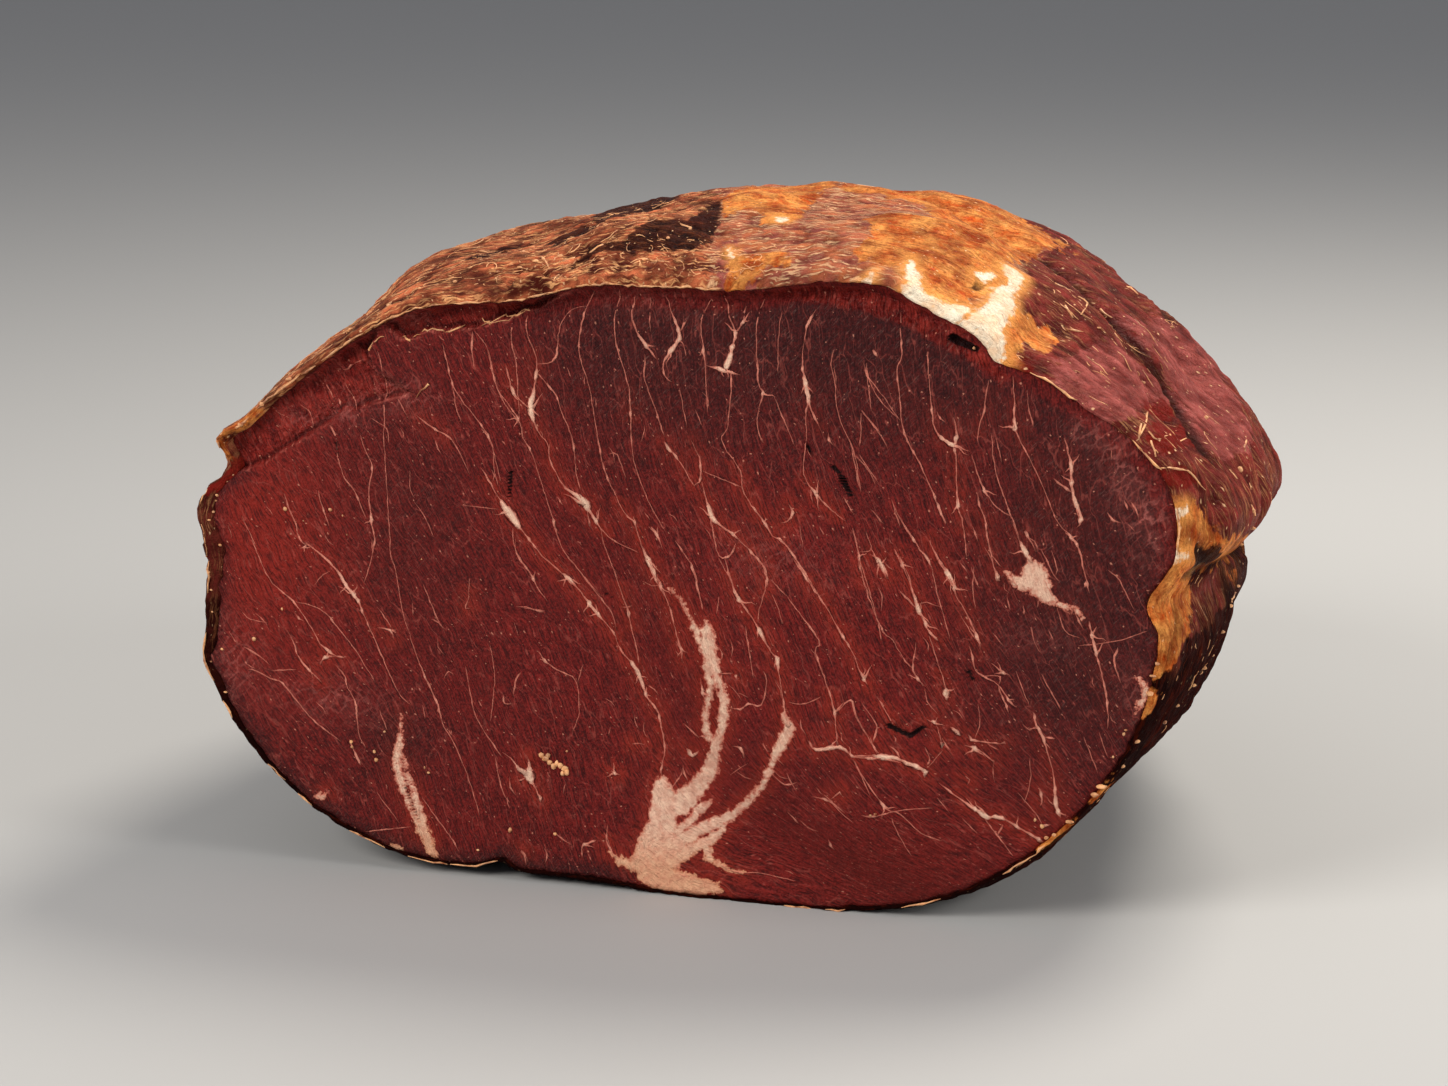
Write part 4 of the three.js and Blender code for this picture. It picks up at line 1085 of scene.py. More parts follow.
def build_mottle():
    """Soft patches of one size."""
    group = Group("Mottle", Size=5.0, Contrast=2.0)
    scale = group.math("DIVIDE", 1.0, group.inside["Size"])
    centred = group.math("SUBTRACT", group.noise(group.inside["Vector"], scale, 4.0, 0.6)[0], 0.5)
    group.give(group.math("MULTIPLY_ADD", centred, group.inside["Contrast"], 0.5, clamp=True))


def build_streaks():
    """Fine streaks that run along the vector's Y and sway a little."""
    group = Group("Streaks", Width=0.5, Length=6.0, Low=0.5, High=0.7, Sway=0.0)
    inside = group.inside
    sway = group.vector("SCALE", {0: group.noise(inside["Vector"], 0.45, 1.0)["Color"],
                                  "Scale": inside["Sway"]})
    moved = group.vector("ADD", {0: inside["Vector"], 1: sway})
    cloud = group.noise(group.scaled(moved, 1.0), 1.0, 3.0, 0.55)[0]
    group.give(group.remap(cloud, inside["Low"], inside["High"]))


def build_webbing():
    """A net of hair-thin tissue between long fibre bundles, which fades in and out."""
    group = Group("Webbing", Width=2.5, Length=14.0, Line=0.05, Cover=0.5)
    drawn, bent = group.bent(1.7, 0.9)
    edge = group.add("ShaderNodeTexVoronoi", {"Vector": bent, "Scale": 1.0},
                     voronoi_dimensions="2D", feature="DISTANCE_TO_EDGE").outputs["Distance"]
    line = group.remap(edge, 0.0, group.inside["Line"], 1.0, 0.0)
    low = group.math("MULTIPLY_ADD", group.inside["Cover"], -0.3, 0.62)
    shown = group.remap(group.noise(drawn, 1.1, 3.0)[0], low, group.math("ADD", low, 0.14))
    group.give(group.math("MULTIPLY", line, shown))


def build_specks():
    """Scattered flecks, as long as they are wide or drawn out along the vector's Y."""
    group = Group("Specks", Width=2.0, Length=2.0, Size=0.1, Share=0.3)
    cells = group.add("ShaderNodeTexVoronoi", {"Vector": group.bent(2.2, 0.35)[1], "Scale": 1.0},
                      voronoi_dimensions="2D").outputs
    picked = group.add("ShaderNodeSeparateColor", {0: cells["Color"]}).outputs
    chosen = group.math("LESS_THAN", picked[0], group.inside["Share"])
    size = group.math("MULTIPLY", group.inside["Size"],
                      group.math("MULTIPLY_ADD", picked[1], 1.2, 0.4))
    dot = group.remap(cells["Distance"], group.math("MULTIPLY", size, 0.4), size, 1.0, 0.0)
    group.give(group.math("MULTIPLY", dot, chosen))


class Paint(Nodes):
    """A new material, with places on the piece in mm."""

    def __init__(self, name):
        material = bpy.data.materials.new(name)
        material.use_nodes = True
        super().__init__(material.node_tree)
        self.sockets = self.tree.nodes["Principled BSDF"].inputs
        places = self.add("ShaderNodeTexCoord", {}).outputs["Object"]
        self.where = self.vector("SCALE", {0: places, "Scale": 1 / MM})

    def finish(self, shade, gloss, height, strength, distance):
        """Links the colour, the roughness and the bump."""
        bump = self.add("ShaderNodeBump", {"Height": height, "Strength": strength,
                                           "Distance": distance}).outputs[0]
        for name, value in (("Base Color", shade), ("Roughness", gloss), ("Normal", bump)):
            self.tree.links.new(value, self.sockets[name])


def meat_base(paint, look, grain):
    """The meat's reds: clouds, fibres, and the tones that the cut has from part to part."""
    where, tone, fat = paint.where, paint.parts("tone"), paint.parts("fat")
    fibres = paint.streaks(grain, 0.5, 5.0, 0.45, 0.7)
    furrows = paint.streaks(grain, 0.26, 2.0, 0.47, 0.66)
    blisters = paint.mottle(where, 2.2, 3.5)
    # Fewer bright grains where the painted shade at the top and right lies
    unshaded = paint.math("MULTIPLY_ADD", tone[1], -0.3, 0.46)
    base = paint.coat(paint.mix(paint.mottle(where, 8.0, 2.4), look.deep_red, look.meat_red),
                      (look.bright_red, fibres, 0.5), (look.near_fat, fat[1], 0.5),
                      # The next three are painted light and shade: the glow, the shade at the top and
                      # right, and the shadow under the lip
                      (look.glow, tone[0]), (look.shade_brown, tone[1]), (look.lip_shadow_and_wet_red, tone[2]),
                      (paint.mix(blisters, look.lip_shadow_and_wet_red, look.raw), fat[2]),
                      (look.bright_red, paint.mottle(where, 0.36, 4.5), unshaded),
                      (look.furrow_and_ledge_shade, furrows, 0.68))
    return base, fibres, furrows, blisters


def meat_films(paint, look, base):
    """The ledges' painted shade and painted highlights on their rims, the films of tissue, and scratches
    with a painted grey sheen where the cut is shaded.
    """
    # dry is the painted shade at the top and right of the cut
    where, dry = paint.where, paint.parts("tone")[1]
    turned = paint.add("ShaderNodeMapping", {"Vector": where,
                                             "Rotation": (math.radians(90), 0, 0)}).outputs[0]
    leaned = paint.add("ShaderNodeMapping", {"Vector": turned,
                                             "Rotation": (0, 0, math.radians(-42))}).outputs[0]
    film, edge = paint.parts("film")[1:]
    veil = paint.math("MULTIPLY_ADD", paint.mottle(where, 2.4, 4.0), 0.28,
                      paint.times(paint.webbing(leaned, 1.6, 3.0, 0.16, 0.9), 0.75))
    # Painted shade behind the upper ledges' edges, and a painted highlight in the tissue's colour on their
    # rims
    return paint.coat(base, (look.furrow_and_ledge_shade, paint.remap(edge, -0.1, -0.9), 0.7),
                      (look.tissue, paint.remap(edge, 0.1, 0.9), paint.mottle(where, 1.4, 4.0)),
                      (look.film, veil, film, 0.8),
                      # Fine leaned scratches with a painted grey sheen, where the painted shade lies
                      (look.scratch_sheen, paint.streaks(leaned, 0.24, 1.8, 0.56, 0.7), dry, 0.3))


def meat_flecks(paint, look, grain, base):
    """The faint net of tissue, small flecks along the fibres, and tiny dots."""
    lip_shade, raw = paint.parts("tone")[2], paint.parts("fat")[2]
    # No net of tissue in the painted shadow under the lip
    shown = paint.math("SUBTRACT", 1.0, paint.times(lip_shade, 0.9))
    web = paint.math("MAXIMUM", paint.times(paint.webbing(grain, 3.0, 9.0, 0.045, 0.7), 0.4),
                     paint.times(paint.webbing(grain, 1.3, 3.4, 0.07, 0.5), 0.26))
    patchy = paint.remap(paint.mottle(paint.where, 11.0, 3.0), 0.35, 0.75)
    return paint.coat(base, (look.tissue, web, shown),
                      (look.tissue, paint.specks(grain, 1.5, 3.2, 0.13, 0.4),
                       paint.math("MAXIMUM", patchy, raw), 0.55),
                      (look.speck, paint.specks(grain, 1.5, 1.5, 0.08, 0.26), 0.7))


def meat_fat(paint, look, base):
    """Thick fat with ragged edges, and thin veins whose strips fade at their sides."""
    where, fat, vein = paint.where, paint.parts("fat"), paint.parts("vein")
    up = paint.add("ShaderNodeSeparateXYZ", {0: where}).outputs[2]
    ragged = paint.math("MULTIPLY_ADD", paint.mottle(where, 0.8, 2.4), 0.8, -0.4)
    edge = paint.math("ADD", fat[0], ragged)
    rich = paint.coat(paint.mix(paint.remap(edge, 0.0, 0.6), look.fat_edge, look.fat),
                      (look.fat_low, paint.remap(up, 13.0, 3.0), 0.7),
                      (look.fat_edge, paint.mottle(where, 1.3, 4.5), 0.45))
    shown = paint.math("MULTIPLY_ADD", paint.mottle(where, 0.9, 2.4), -0.4, vein[0])
    core = paint.times(paint.remap(vein[0], 0.25, 0.75), vein[2])
    return paint.coat(base, (rich, paint.remap(edge, -0.1, 0.14)),
                      (paint.mix(core, look.hairline, look.fat),
                       paint.remap(shown, -0.02, 0.3), vein[1]),
                      # Painted shade inside the slits
                      (look.slit_shade, paint.remap(paint.parts("film")[0], 0.15, 0.5), 0.96))


def meat_material(look):
    """The cut: dark red meat with its grain, hair-thin webbing and pinkish fat."""
    paint = Paint("cut meat")
    grain, raw = paint.field("grain"), paint.parts("fat")[2]
    base, fibres, furrows, blisters = meat_base(paint, look, grain)
    shade = meat_flecks(paint, look, grain, meat_films(paint, look, base))
    fine = paint.mottle(paint.where, 0.4, 2.0)
    gloss = paint.math("MULTIPLY_ADD", raw, -0.2, paint.math("MULTIPLY_ADD", fine, 0.2, 0.44))
    height = paint.math("MULTIPLY_ADD", fibres, 0.5, fine)
    height = paint.math("MULTIPLY_ADD", furrows, -0.7, height)
    height = paint.math("MULTIPLY_ADD", paint.times(blisters, raw), 2.5, height)
    paint.finish(meat_fat(paint, look, shade), gloss, height, 0.8, 0.0003)
    paint.sockets["Specular IOR Level"].default_value = 0.16


def crust_skins(paint, look, along, crest):
    """The crust's three grounds: brown with golden fibres, partly painted glints, plum skin, and the dark
    flank, which is painted shade on the underside.
    """
    skin = paint.parts("skin")
    clouds = paint.mottle(paint.where, 5.5, 4.0)
    fibres = paint.streaks(along, 0.26, 2.4, 0.5, 0.62, 1.1)
    seams = paint.streaks(along, 0.55, 6.0, 0.5, 0.6, 1.6)
    # Bright streaks, gathered where the clouds are bright: golden fibres, and painted glints on the ridges
    bright = paint.math("MULTIPLY_ADD", clouds, 0.8, 0.2)
    lit = paint.times(fibres, bright)
    # Each ground is darker in the hollows of the relief and lighter on its crests: painted shade
    brown = paint.coat(paint.mix(paint.times(crest, bright), look.dark_brown_and_shade, look.brown),
                       (look.dark_brown_and_shade, seams, 0.65), (look.fibre, lit, 0.85))
    plum = paint.coat(paint.mix(crest, look.dark_plum_and_shade, look.plum),
                      (look.dark_plum_and_shade, clouds, 0.4), (look.fibre, lit, 0.25))
    flank = paint.coat(paint.mix(crest, look.seam, look.flank), (look.amber, lit, 0.22))
    return paint.coat(brown, (plum, skin[0]), (flank, skin[1])), clouds, fibres


def dried_gold(paint, look, along, clouds, fibres, grit, blobs, lines):
    """Dried fat: gold and pale gold, with amber in its hollows and lines."""
    hollows = paint.math("SUBTRACT", 1.0, clouds)
    return paint.coat(paint.mix(blobs, look.gold, look.pale_gold),
                      (look.amber, hollows, 0.75), (look.amber, lines, 0.5),
                      (look.pale_gold, fibres, 0.25), (look.pale_gold, grit, clouds, 0.45),
                      (look.amber, paint.specks(along, 0.8, 1.2, 0.2, 0.6), 0.5))


def crust_patches(paint, look, along, crest, shade, clouds, fibres):
    """The patches on top of the ground: tan, gold and pale fat, dark, partly painted shade on the
    underside, mauve, a painted sheen on the plum skin, and red.
    """
    def inside(depth, size=2.6, amount=2.4):
        """A patch's mask with a ragged edge, from how deep places lie inside it."""
        ragged = paint.math("MULTIPLY_ADD", paint.mottle(paint.where, size, 1.8), amount,
                            -amount / 2)
        return paint.remap(paint.math("ADD", depth, ragged), -0.35, 0.35)

    zone, stain = paint.parts("zone"), paint.parts("stain")
    grit = paint.mottle(paint.where, 1.0, 4.0)
    blobs = paint.mottle(along, 3.4, 4.5)
    lines = paint.streaks(along, 0.7, 7.0, 0.45, 0.6, 1.6)
    # Each patch, too, has painted shade in the hollows of the relief
    tan = paint.coat(paint.mix(crest, look.dark_tan_and_shade, look.tan), (look.mauve, blobs, 0.35),
                     (look.dark_tan_and_shade, lines, 0.4), (look.pale_fibre_and_glint, fibres, 0.6))
    gold = dried_gold(paint, look, along, clouds, fibres, grit, blobs, lines)
    cream = paint.coat(look.cream, (look.pale_gold, blobs, 0.4))
    dark = paint.coat(paint.mix(crest, look.seam, look.dark_patch), (look.amber, fibres, 0.28))
    mauve = paint.coat(paint.mix(crest, look.mauve_hollow_shade, look.mauve), (look.plum, grit, 0.35))
    core = paint.math("SUBTRACT", zone[2], 0.15)
    return paint.coat(shade, (tan, inside(zone[0])), (mauve, inside(stain[1]), 0.85),
                      (gold, inside(zone[1], 2.6, 3.4), 0.95), (dark, inside(stain[0]), 0.92),
                      (look.red_patch, inside(stain[2]), 0.85),
                      (look.pale_gold, paint.remap(core, -2.2, 0.2), 0.75),
                      (cream, inside(core, 1.6, 1.6))), grit


def crust_material(look):
    """The dried crust: brown with golden fibres, partly painted glints, plum skin, gold fat and a dark
    flank of painted shade.
    """
    paint = Paint("dried crust")
    along, relief, flank = paint.field("round"), paint.parts("relief"), paint.parts("skin")[1]
    # How high the relief stands, which sets the painted shade in its hollows
    crest = paint.remap(relief[0], -0.55, 0.6)
    shade, clouds, fibres = crust_skins(paint, look, along, crest)
    shade, grit = crust_patches(paint, look, along, crest, shade, clouds, fibres)
    above = paint.math("SUBTRACT", 0.7, paint.times(flank, 0.55))
    # Painted shade in the grooves
    shade = paint.coat(shade, (look.seam, paint.remap(relief[1], 0.05, 1.0), 0.75),
                       # Pale dots, partly painted glints, fewer on the shaded flank
                       (look.pale_fibre_and_glint, paint.specks(along, 1.3, 1.7, 0.1, 0.3), above))
    gloss = paint.math("MULTIPLY_ADD", grit, 0.2, paint.math("MULTIPLY_ADD", flank, 0.5, 0.4))
    height = paint.math("MULTIPLY_ADD", fibres, 0.6, grit)
    paint.finish(shade, gloss, height, 0.9, 0.00035)
    paint.sockets["Specular IOR Level"].default_value = 0.07
    paint.sockets["IOR"].default_value = 1.35


def flake_material(look):
    """Golden dry fibres, frills and crumbs."""
    paint = Paint("dry flakes")
    shade = paint.coat(paint.mix(paint.mottle(paint.where, 2.2, 3.0), look.amber, look.fibre),
                       (look.pale_fibre_and_glint, paint.mottle(paint.where, 0.7, 3.5), 0.5))
    paint.tree.links.new(shade, paint.sockets["Base Color"])
    paint.sockets["Roughness"].default_value = 0.45
    paint.sockets["Specular IOR Level"].default_value = 0.25


# ---------------------------------------------------------------------------------------------
# Sizes and colours that a user would change
def a_colour(name, description, *tint):
    return bpy.props.FloatVectorProperty(name=name, description=description, subtype="COLOR",
                                         size=4, min=0, max=1, default=colour(*tint))


def a_length(name, description, millimetres):
    return bpy.props.FloatProperty(name=name, description=description, unit="LENGTH",
                                   subtype="DISTANCE", default=millimetres * MM, min=0)


def a_count(name, description, number):
    return bpy.props.IntProperty(name=name, description=description, default=number, min=0)


def a_power(name, description, watts):
    return bpy.props.FloatProperty(name=name, description=description, unit="POWER",
                                   default=watts, min=0)


class CutLook(bpy.types.PropertyGroup):
    """The cut's fineness and colours"""

    steps: a_count("Steps", "Squares across the cut", 288)
    fat_rise: a_length("Fat rise", "How far the fat stands out of the meat", 0.15)
    flecks: a_count("Flecks", "Short stray veins between the traced ones", 90)
    meat_red: a_colour("Meat", "The cut meat's red", 102, 18, 17)
    deep_red: a_colour("Deep red", "Darker clouds in the meat", 68, 10, 11)
    bright_red: a_colour("Bright red", "Along the fibres", 156, 42, 35)
    near_fat: a_colour("Near fat", "The brighter meat beside the fat", 164, 50, 28)
    # Also the painted shade behind the ledges' edges
    furrow_and_ledge_shade: a_colour("Furrow", "Between the fibres", 44, 5, 6)
    glow: a_colour("Glow", "Where light shines through at the left", 136, 32, 20)
    # Painted shade at the top and the right of the cut
    shade_brown: a_colour("Dry brown", "The dry top and right of the cut", 48, 17, 18)
    # Painted shadow under the crust's lip; also the dark of the blisters on the ledges
    lip_shadow_and_wet_red: a_colour("Wet red", "The fresh red under the ledges", 84, 10, 10)
    # Also the painted highlight on the ledges' rims
    tissue: a_colour("Tissue", "Hair-thin tissue between the fibres", 176, 84, 72)
    hairline: a_colour("Hairline", "Thin veins of fat", 230, 134, 112)
    # Painted shade inside the slits
    slit_shade: a_colour("Hollows", "Inside the slits", 20, 3, 3)
    speck: a_colour("Specks", "Tiny dots of fat", 230, 150, 122)
    fat: a_colour("Fat", "The middle of the fat", 255, 208, 178)
    fat_edge: a_colour("Fat's edge", "Thin fat that the meat shows through", 206, 112, 90)
    film: a_colour("Films", "Pinkish films of tissue", 196, 108, 98)
    # A painted grey sheen over fine scratches at the top
    scratch_sheen: a_colour("Scratches", "Dry scratches at the top", 146, 108, 98)
    raw: a_colour("Raw", "The moist meat of the ledges", 156, 50, 40)
    fat_low: a_colour("Low fat", "The golden fat at the foot", 232, 166, 120)


class CrustLook(bpy.types.PropertyGroup):
    """The crust's fineness and colours"""

    rows: a_count("Rows", "Rows along the crust", 118)
    turns: a_count("Turns", "Columns round the crust", 720)
    bump: a_length("Bumps", "Height of the bumps, 9 mm across", 0.4)
    wrinkle: a_length("Wrinkles", "Height of the fine wrinkles", 0.42)
    fibres: a_count("Fibres", "Golden fibres that stand out of the crust", 900)
    brown: a_colour("Brown", "The dry crust", 240, 130, 84)
    # Painted shade in the crust's hollows, and its dark streaks
    dark_brown_and_shade: a_colour("Dark brown", "Hollows of the crust", 72, 23, 14)
    # Also the painted glints along the crust's ridges
    fibre: a_colour("Fibres", "Golden fibres on the crust", 255, 184, 122)
    # Also painted glints on the crust
    pale_fibre_and_glint: a_colour("Pale fibres", "The brightest fibres", 250, 200, 150)
    tan: a_colour("Tan", "The lighter crust at the top", 206, 116, 70)
    # Painted shade in the tan's hollows, and its dark lines
    dark_tan_and_shade: a_colour("Dark tan", "Its hollows", 98, 40, 28)
    plum: a_colour("Plum", "Dark skin at the right", 146, 54, 46)
    # Painted shade in the plum skin's hollows, and its darker clouds
    dark_plum_and_shade: a_colour("Dark plum", "Its hollows", 74, 20, 16)
    # A painted sheen on the dark skin, and pinker clouds in the tan
    mauve: a_colour("Mauve", "Bloom on the dark skin", 184, 98, 90)
    # Painted shade in the hollows of the mauve
    mauve_hollow_shade: a_colour("Dark mauve", "Its hollows", 104, 42, 38)
    # Also painted shade where it covers the underside
    dark_patch: a_colour("Dark patch", "The darkest crust", 42, 9, 6)
    # Painted shade on the underside
    flank: a_colour("Flank", "The dark underside", 28, 4, 2)
    gold: a_colour("Gold", "The dried fat", 218, 84, 14)
    pale_gold: a_colour("Pale gold", "Paler dried fat", 255, 172, 88)
    amber: a_colour("Amber", "Deeper spots of the dried fat", 120, 36, 6)
    cream: a_colour("Cream", "The palest fat", 255, 238, 210)
    red_patch: a_colour("Red patch", "Where the meat shows through", 122, 26, 18)
    # Painted shade deep in the folds and grooves
    seam: a_colour("Seam", "Deep in the folds", 20, 3, 2)


class StageLook(bpy.types.PropertyGroup):
    """The floor, the lights and the camera"""

    floor: a_colour("Floor", "The pale floor", 176, 175, 172)
    sky: bpy.props.FloatProperty(name="Soft light", description="Light from all round",
                                 default=0.3, min=0)
    key: a_power("Key light", "Power of the key light", 8.0)
    back: a_power("Back light", "Power of the back light", 4.9)
    fill: a_power("Fill light", "Power of the fill light", 4.8)


# ---------------------------------------------------------------------------------------------
# The cut
def round_square(square):
    """Turns places in a square into the angle and the share of the way out of a disc."""
    a, c = square[:, 0], square[:, 1]
    share = np.maximum(abs(a), abs(c))
    flank = abs(a) >= abs(c)
    wide = np.where(flank, a, c)
    lean = np.where(flank, c, a) / np.where(wide == 0, 1, wide)
    turn = np.where(flank, np.where(a > 0, 0, math.pi) + math.pi / 4 * lean,
                    np.where(c > 0, 1, -1) * math.pi / 2 - math.pi / 4 * lean)
    return turn, share


def cut_disc(look):
    """The cut meat: a finely divided disc that fills the crust's rim."""
    mesh = bmesh.new()
    bmesh.ops.create_grid(mesh, x_segments=look.steps, y_segments=look.steps, size=1)
    turn, share = round_square(read_places(mesh))
    angle = np.degrees(turn)
    wide = ragged_outline(angle)
    radius = share * (wide - rind_width(angle))
    x = radius * np.cos(turn)
    z = np.maximum(MIDDLE_HEIGHT + radius * np.sin(turn), 0.15)
    y = cut_back(x, z, angle, wide - radius) + 0.35 * smooth(share, 0.985, 1.0)
    y -= look.fat_rise / MM * smooth(fat_depth(x, z), -0.2, 0.5)
    write_places(mesh, np.stack([x, y, z], 1))
    return mesh


def close_slab(mesh):
    """Draws the disc's edge straight back and closes it behind."""
    rim = [edge for edge in mesh.edges if edge.is_boundary]
    drawn = bmesh.ops.extrude_edge_only(mesh, edges=rim)["geom"]
    for item in drawn:
        if isinstance(item, bmesh.types.BMVert):
            item.co.y = SLAB_BACK
    loops = [item for item in drawn if isinstance(item, bmesh.types.BMEdge)
             and item.is_boundary]
    bmesh.ops.contextual_create(mesh, geom=loops)


class BRESAOLA_OT_cut(bpy.types.Operator):
    """Model the marbled cut"""

    bl_idname = "bresaola.cut"
    bl_label = "Cut"
    bl_options = {"REGISTER", "UNDO"}

    def execute(self, context):
        mesh = cut_disc(context.scene.bresaola_cut)
        close_slab(mesh)
        SURFACES["cut"] = BVHTree.FromBMesh(mesh)
        dress_cut(make_piece("cut_meat", mesh, "cut meat"))
        return {"FINISHED"}


# ---------------------------------------------------------------------------------------------
# The crust
def far_drift(flat):
    """Moves places to and fro, more the further they lie from the cut."""
    reach = 7 * smooth(flat[:, 1], 22, 60)
    zero = np.zeros(len(flat))
    drift = [reach * rough(np.column_stack([flat, zero + seed]), 17, 3) for seed in (0, 70)]
    return flat + np.stack(drift, 1)


def patch_field(flat, name):
    """How deep places on the unrolled crust lie inside the patches of one name."""
    best = np.full(len(flat), -6.0)
    for corners in CRUST_OUTLINES[name]:
        near = ((flat > corners.min(0) - 6) & (flat < corners.max(0) + 6)).all(1)
        best[near] = np.maximum(best[near], patch_depth(flat[near], corners))
    best = np.clip(best, -6, 6)
    soft = best * (0.3 + 0.7 * (abs(best) / 6) ** 3)
    return best + (soft - best) * smooth(flat[:, 1], 25, 60)


def crust_outlines():
    """The patches' corners on the unrolled crust. Corners at the rim are taken over it."""
    outlines = {}
    for name, patches in CRUST_PATCHES.items():
        found = [unrolled(on_crust(rows(corners, 2))) for corners in patches]
        for corners in found:
            corners[corners[:, 1] < 1.2, 1] = -2.0
        far = [rows(corners, 2) for corners in FAR_PATCHES.get(name, ())]
        found += [unroll(corners[:, 0], corners[:, 1]) for corners in far]
        outlines[name] = found
    return outlines


def groove_field(flat):
    """How deep grooves run, in mm, at places on the unrolled crust."""
    total = np.zeros(len(flat))
    for depth, marks in GROOVES:
        marks = rows(marks, 3)
        line = np.column_stack([unrolled(on_crust(marks[:, :2])), marks[:, 2]])
        near = ((flat > line[:, :2].min(0) - 5) & (flat < line[:, :2].max(0) + 5)).all(1)
        inside = stroke_depth(flat[near], line)
        total[near] += depth * smooth(inside, -0.9, 0.45)
    return total


def lobe_field(flat):
    """How high the long swellings stand, in mm, at places on the unrolled crust."""
    total = np.zeros(len(flat))
    for height, ax, ay, bx, by, wide in rows(LOBES, 6):
        line = np.column_stack([unrolled(on_crust([(ax, ay), (bx, by)])), [0, 0]])
        apart = -stroke_depth(flat, line)
        total = np.maximum(total, height * hump(apart, 0, wide * 0.7))
    return total


def crust_wrinkles(look, sample, flat, y):
    """The fine relief of the crust: bumps, wrinkles, and ridges along the rim."""
    bumps = rough(sample, 9)
    ridges = rough(np.column_stack([flat[:, 0] / 8, flat[:, 1] / 1.4 + 0.5 * bumps,
                                    np.zeros(len(flat))]), 1, 3)
    wrinkles = 0.55 * rough(sample, 2.4) + 0.75 * ridges
    calm = np.where(patch_field(flat, "gold") > 0, 0.5, 1.0)
    relief = (look.bump * bumps + look.wrinkle * wrinkles * calm) / MM
    return relief * smooth(y, 0.1, 2.5), wrinkles


def lay_lip(points, row, angle, turn):
    """Places the rows in front of the rim: the lip, the step behind it, and a cap."""
    wide, rind = ragged_outline(angle), rind_width(angle)
    left = between(angle % 360, 160, 192, 4)
    ruffle = lip_ruffle(angle) + 0.7 * left * round_wobble(angle, 2.3, 3.0)
    for index, factor in enumerate(LIP_ROWS):
        here = row == index
        gap = np.maximum(rind[here], 0.6) * factor if index == 2 else rind[here] * factor
        gap = wide[here] * factor if index < 2 else gap
        radius = wide[here] - gap
        lumps = 0.6 * left[here] * round_wobble(angle[here], 1.5, 20.0 + 1.5 * index)
        back = lip_back(angle[here], gap) + ruffle[here] + 0.05 + lumps * (factor < 0.9)
        if index < 3:
            back = np.full(here.sum(), CAP_BACK)
        if index == len(LIP_ROWS) - 1:
            back += 0.1
        points[here] = np.stack([radius * np.cos(turn[here]), back,
                                 np.maximum(0, MIDDLE_HEIGHT + radius * np.sin(turn[here]))], 1)
    near = row >= len(LIP_ROWS)
    fade = 1 - smooth(points[near, 1], 0, 6)
    points[near, 1] += (lip_back(angle[near], 0.0 * angle[near]) + ruffle[near]) * fade


def crust_mesh(look):
    """The crust: rows from a cap behind the cut, over the rim and on to the tied end."""
    front = len(LIP_ROWS)
    mesh = spun_tube(front - 1 + look.rows, look.turns)
    places = read_places(mesh)
    turn = np.arctan2(places[:, 2], places[:, 0])
    row = np.round(places[:, 1]).astype(int)
    turn = turn - 0.33 * np.sin(turn - math.radians(75))
    angle = np.degrees(turn)
    t = np.clip((row - (front - 1)) / look.rows, 0, 1)
    share = 0.22 * t + 0.78 * t ** 2.2

    sample = crust_place(angle, share)
    flat = unrolled(sample)
    relief, wrinkles = crust_wrinkles(look, sample, flat, sample[:, 1])
    grooves = groove_field(flat)
    lumps = 1.1 * between(angle % 360, 166, 186, 3) * (1 - smooth(sample[:, 1], 2, 8))
    relief += lumps * rough(sample, 2.8, 2) * smooth(sample[:, 1], 0, 0.8)
    relief += lobe_field(flat) * smooth(sample[:, 1], 0.3, 4)
    points = crust_place(angle, share, relief - grooves * smooth(sample[:, 1], 0.3, 2))
    frill = (ragged_outline(angle) - outline(angle)) * (1 - smooth(sample[:, 1], 0, 4))
    points[:, 0] += frill * np.cos(turn)
    points[:, 2] = np.maximum(points[:, 2] + frill * np.sin(turn), 0)
    lay_lip(points, row, angle, turn)
    write_places(mesh, points)
    gap = ragged_outline(angle) - np.hypot(points[:, 0], points[:, 2] - MIDDLE_HEIGHT)
    flat[:, 1] = np.where(row < front, -np.clip(gap, 0, 4), flat[:, 1])
    return mesh, flat, np.stack([wrinkles, grooves, np.zeros(len(grooves))], 1)


def crust_skin(flat):
    """Where the crust is plum skin and where it is the dark flank, painted shade on the underside, 0 to 1.
    """
    angle = np.degrees(flat[:, 0] / FLAT_RADIUS)
    y = np.maximum(flat[:, 1], 0)
    away = smooth(y, 15, 60)
    clouds = rough(np.column_stack([flat, 0 * y]), 14)
    sway = 3 * np.sin(y / 7) + 2 * np.sin(y / 3.1) + 16 * away * clouds
    plum = smooth(angle + sway, -6, 1) * (1 - smooth(angle, 40 + 0.27 * y, 46 + 0.27 * y))
    far = smooth(y, 60, 95) * between(angle, 20, 190, 12)
    plum = np.maximum(plum, np.maximum(0.5 * far, 0.9 * smooth(angle, 160, 168)))
    flank = np.maximum(1 - smooth(angle + sway, -5 - 10 * away, 3 + 8 * away),
                       smooth(angle + sway, 160, 200))
    # The crease takes the flank's dark colour: painted shade in it
    seam = hump(angle, CREASE[0] + 1.5, 1.6) * smooth(y, 4, 12) * (1 - smooth(y, 70, 100))
    flank = np.maximum(flank, 0.9 * seam)
    return np.stack([plum, flank, np.zeros(len(angle))], 1)


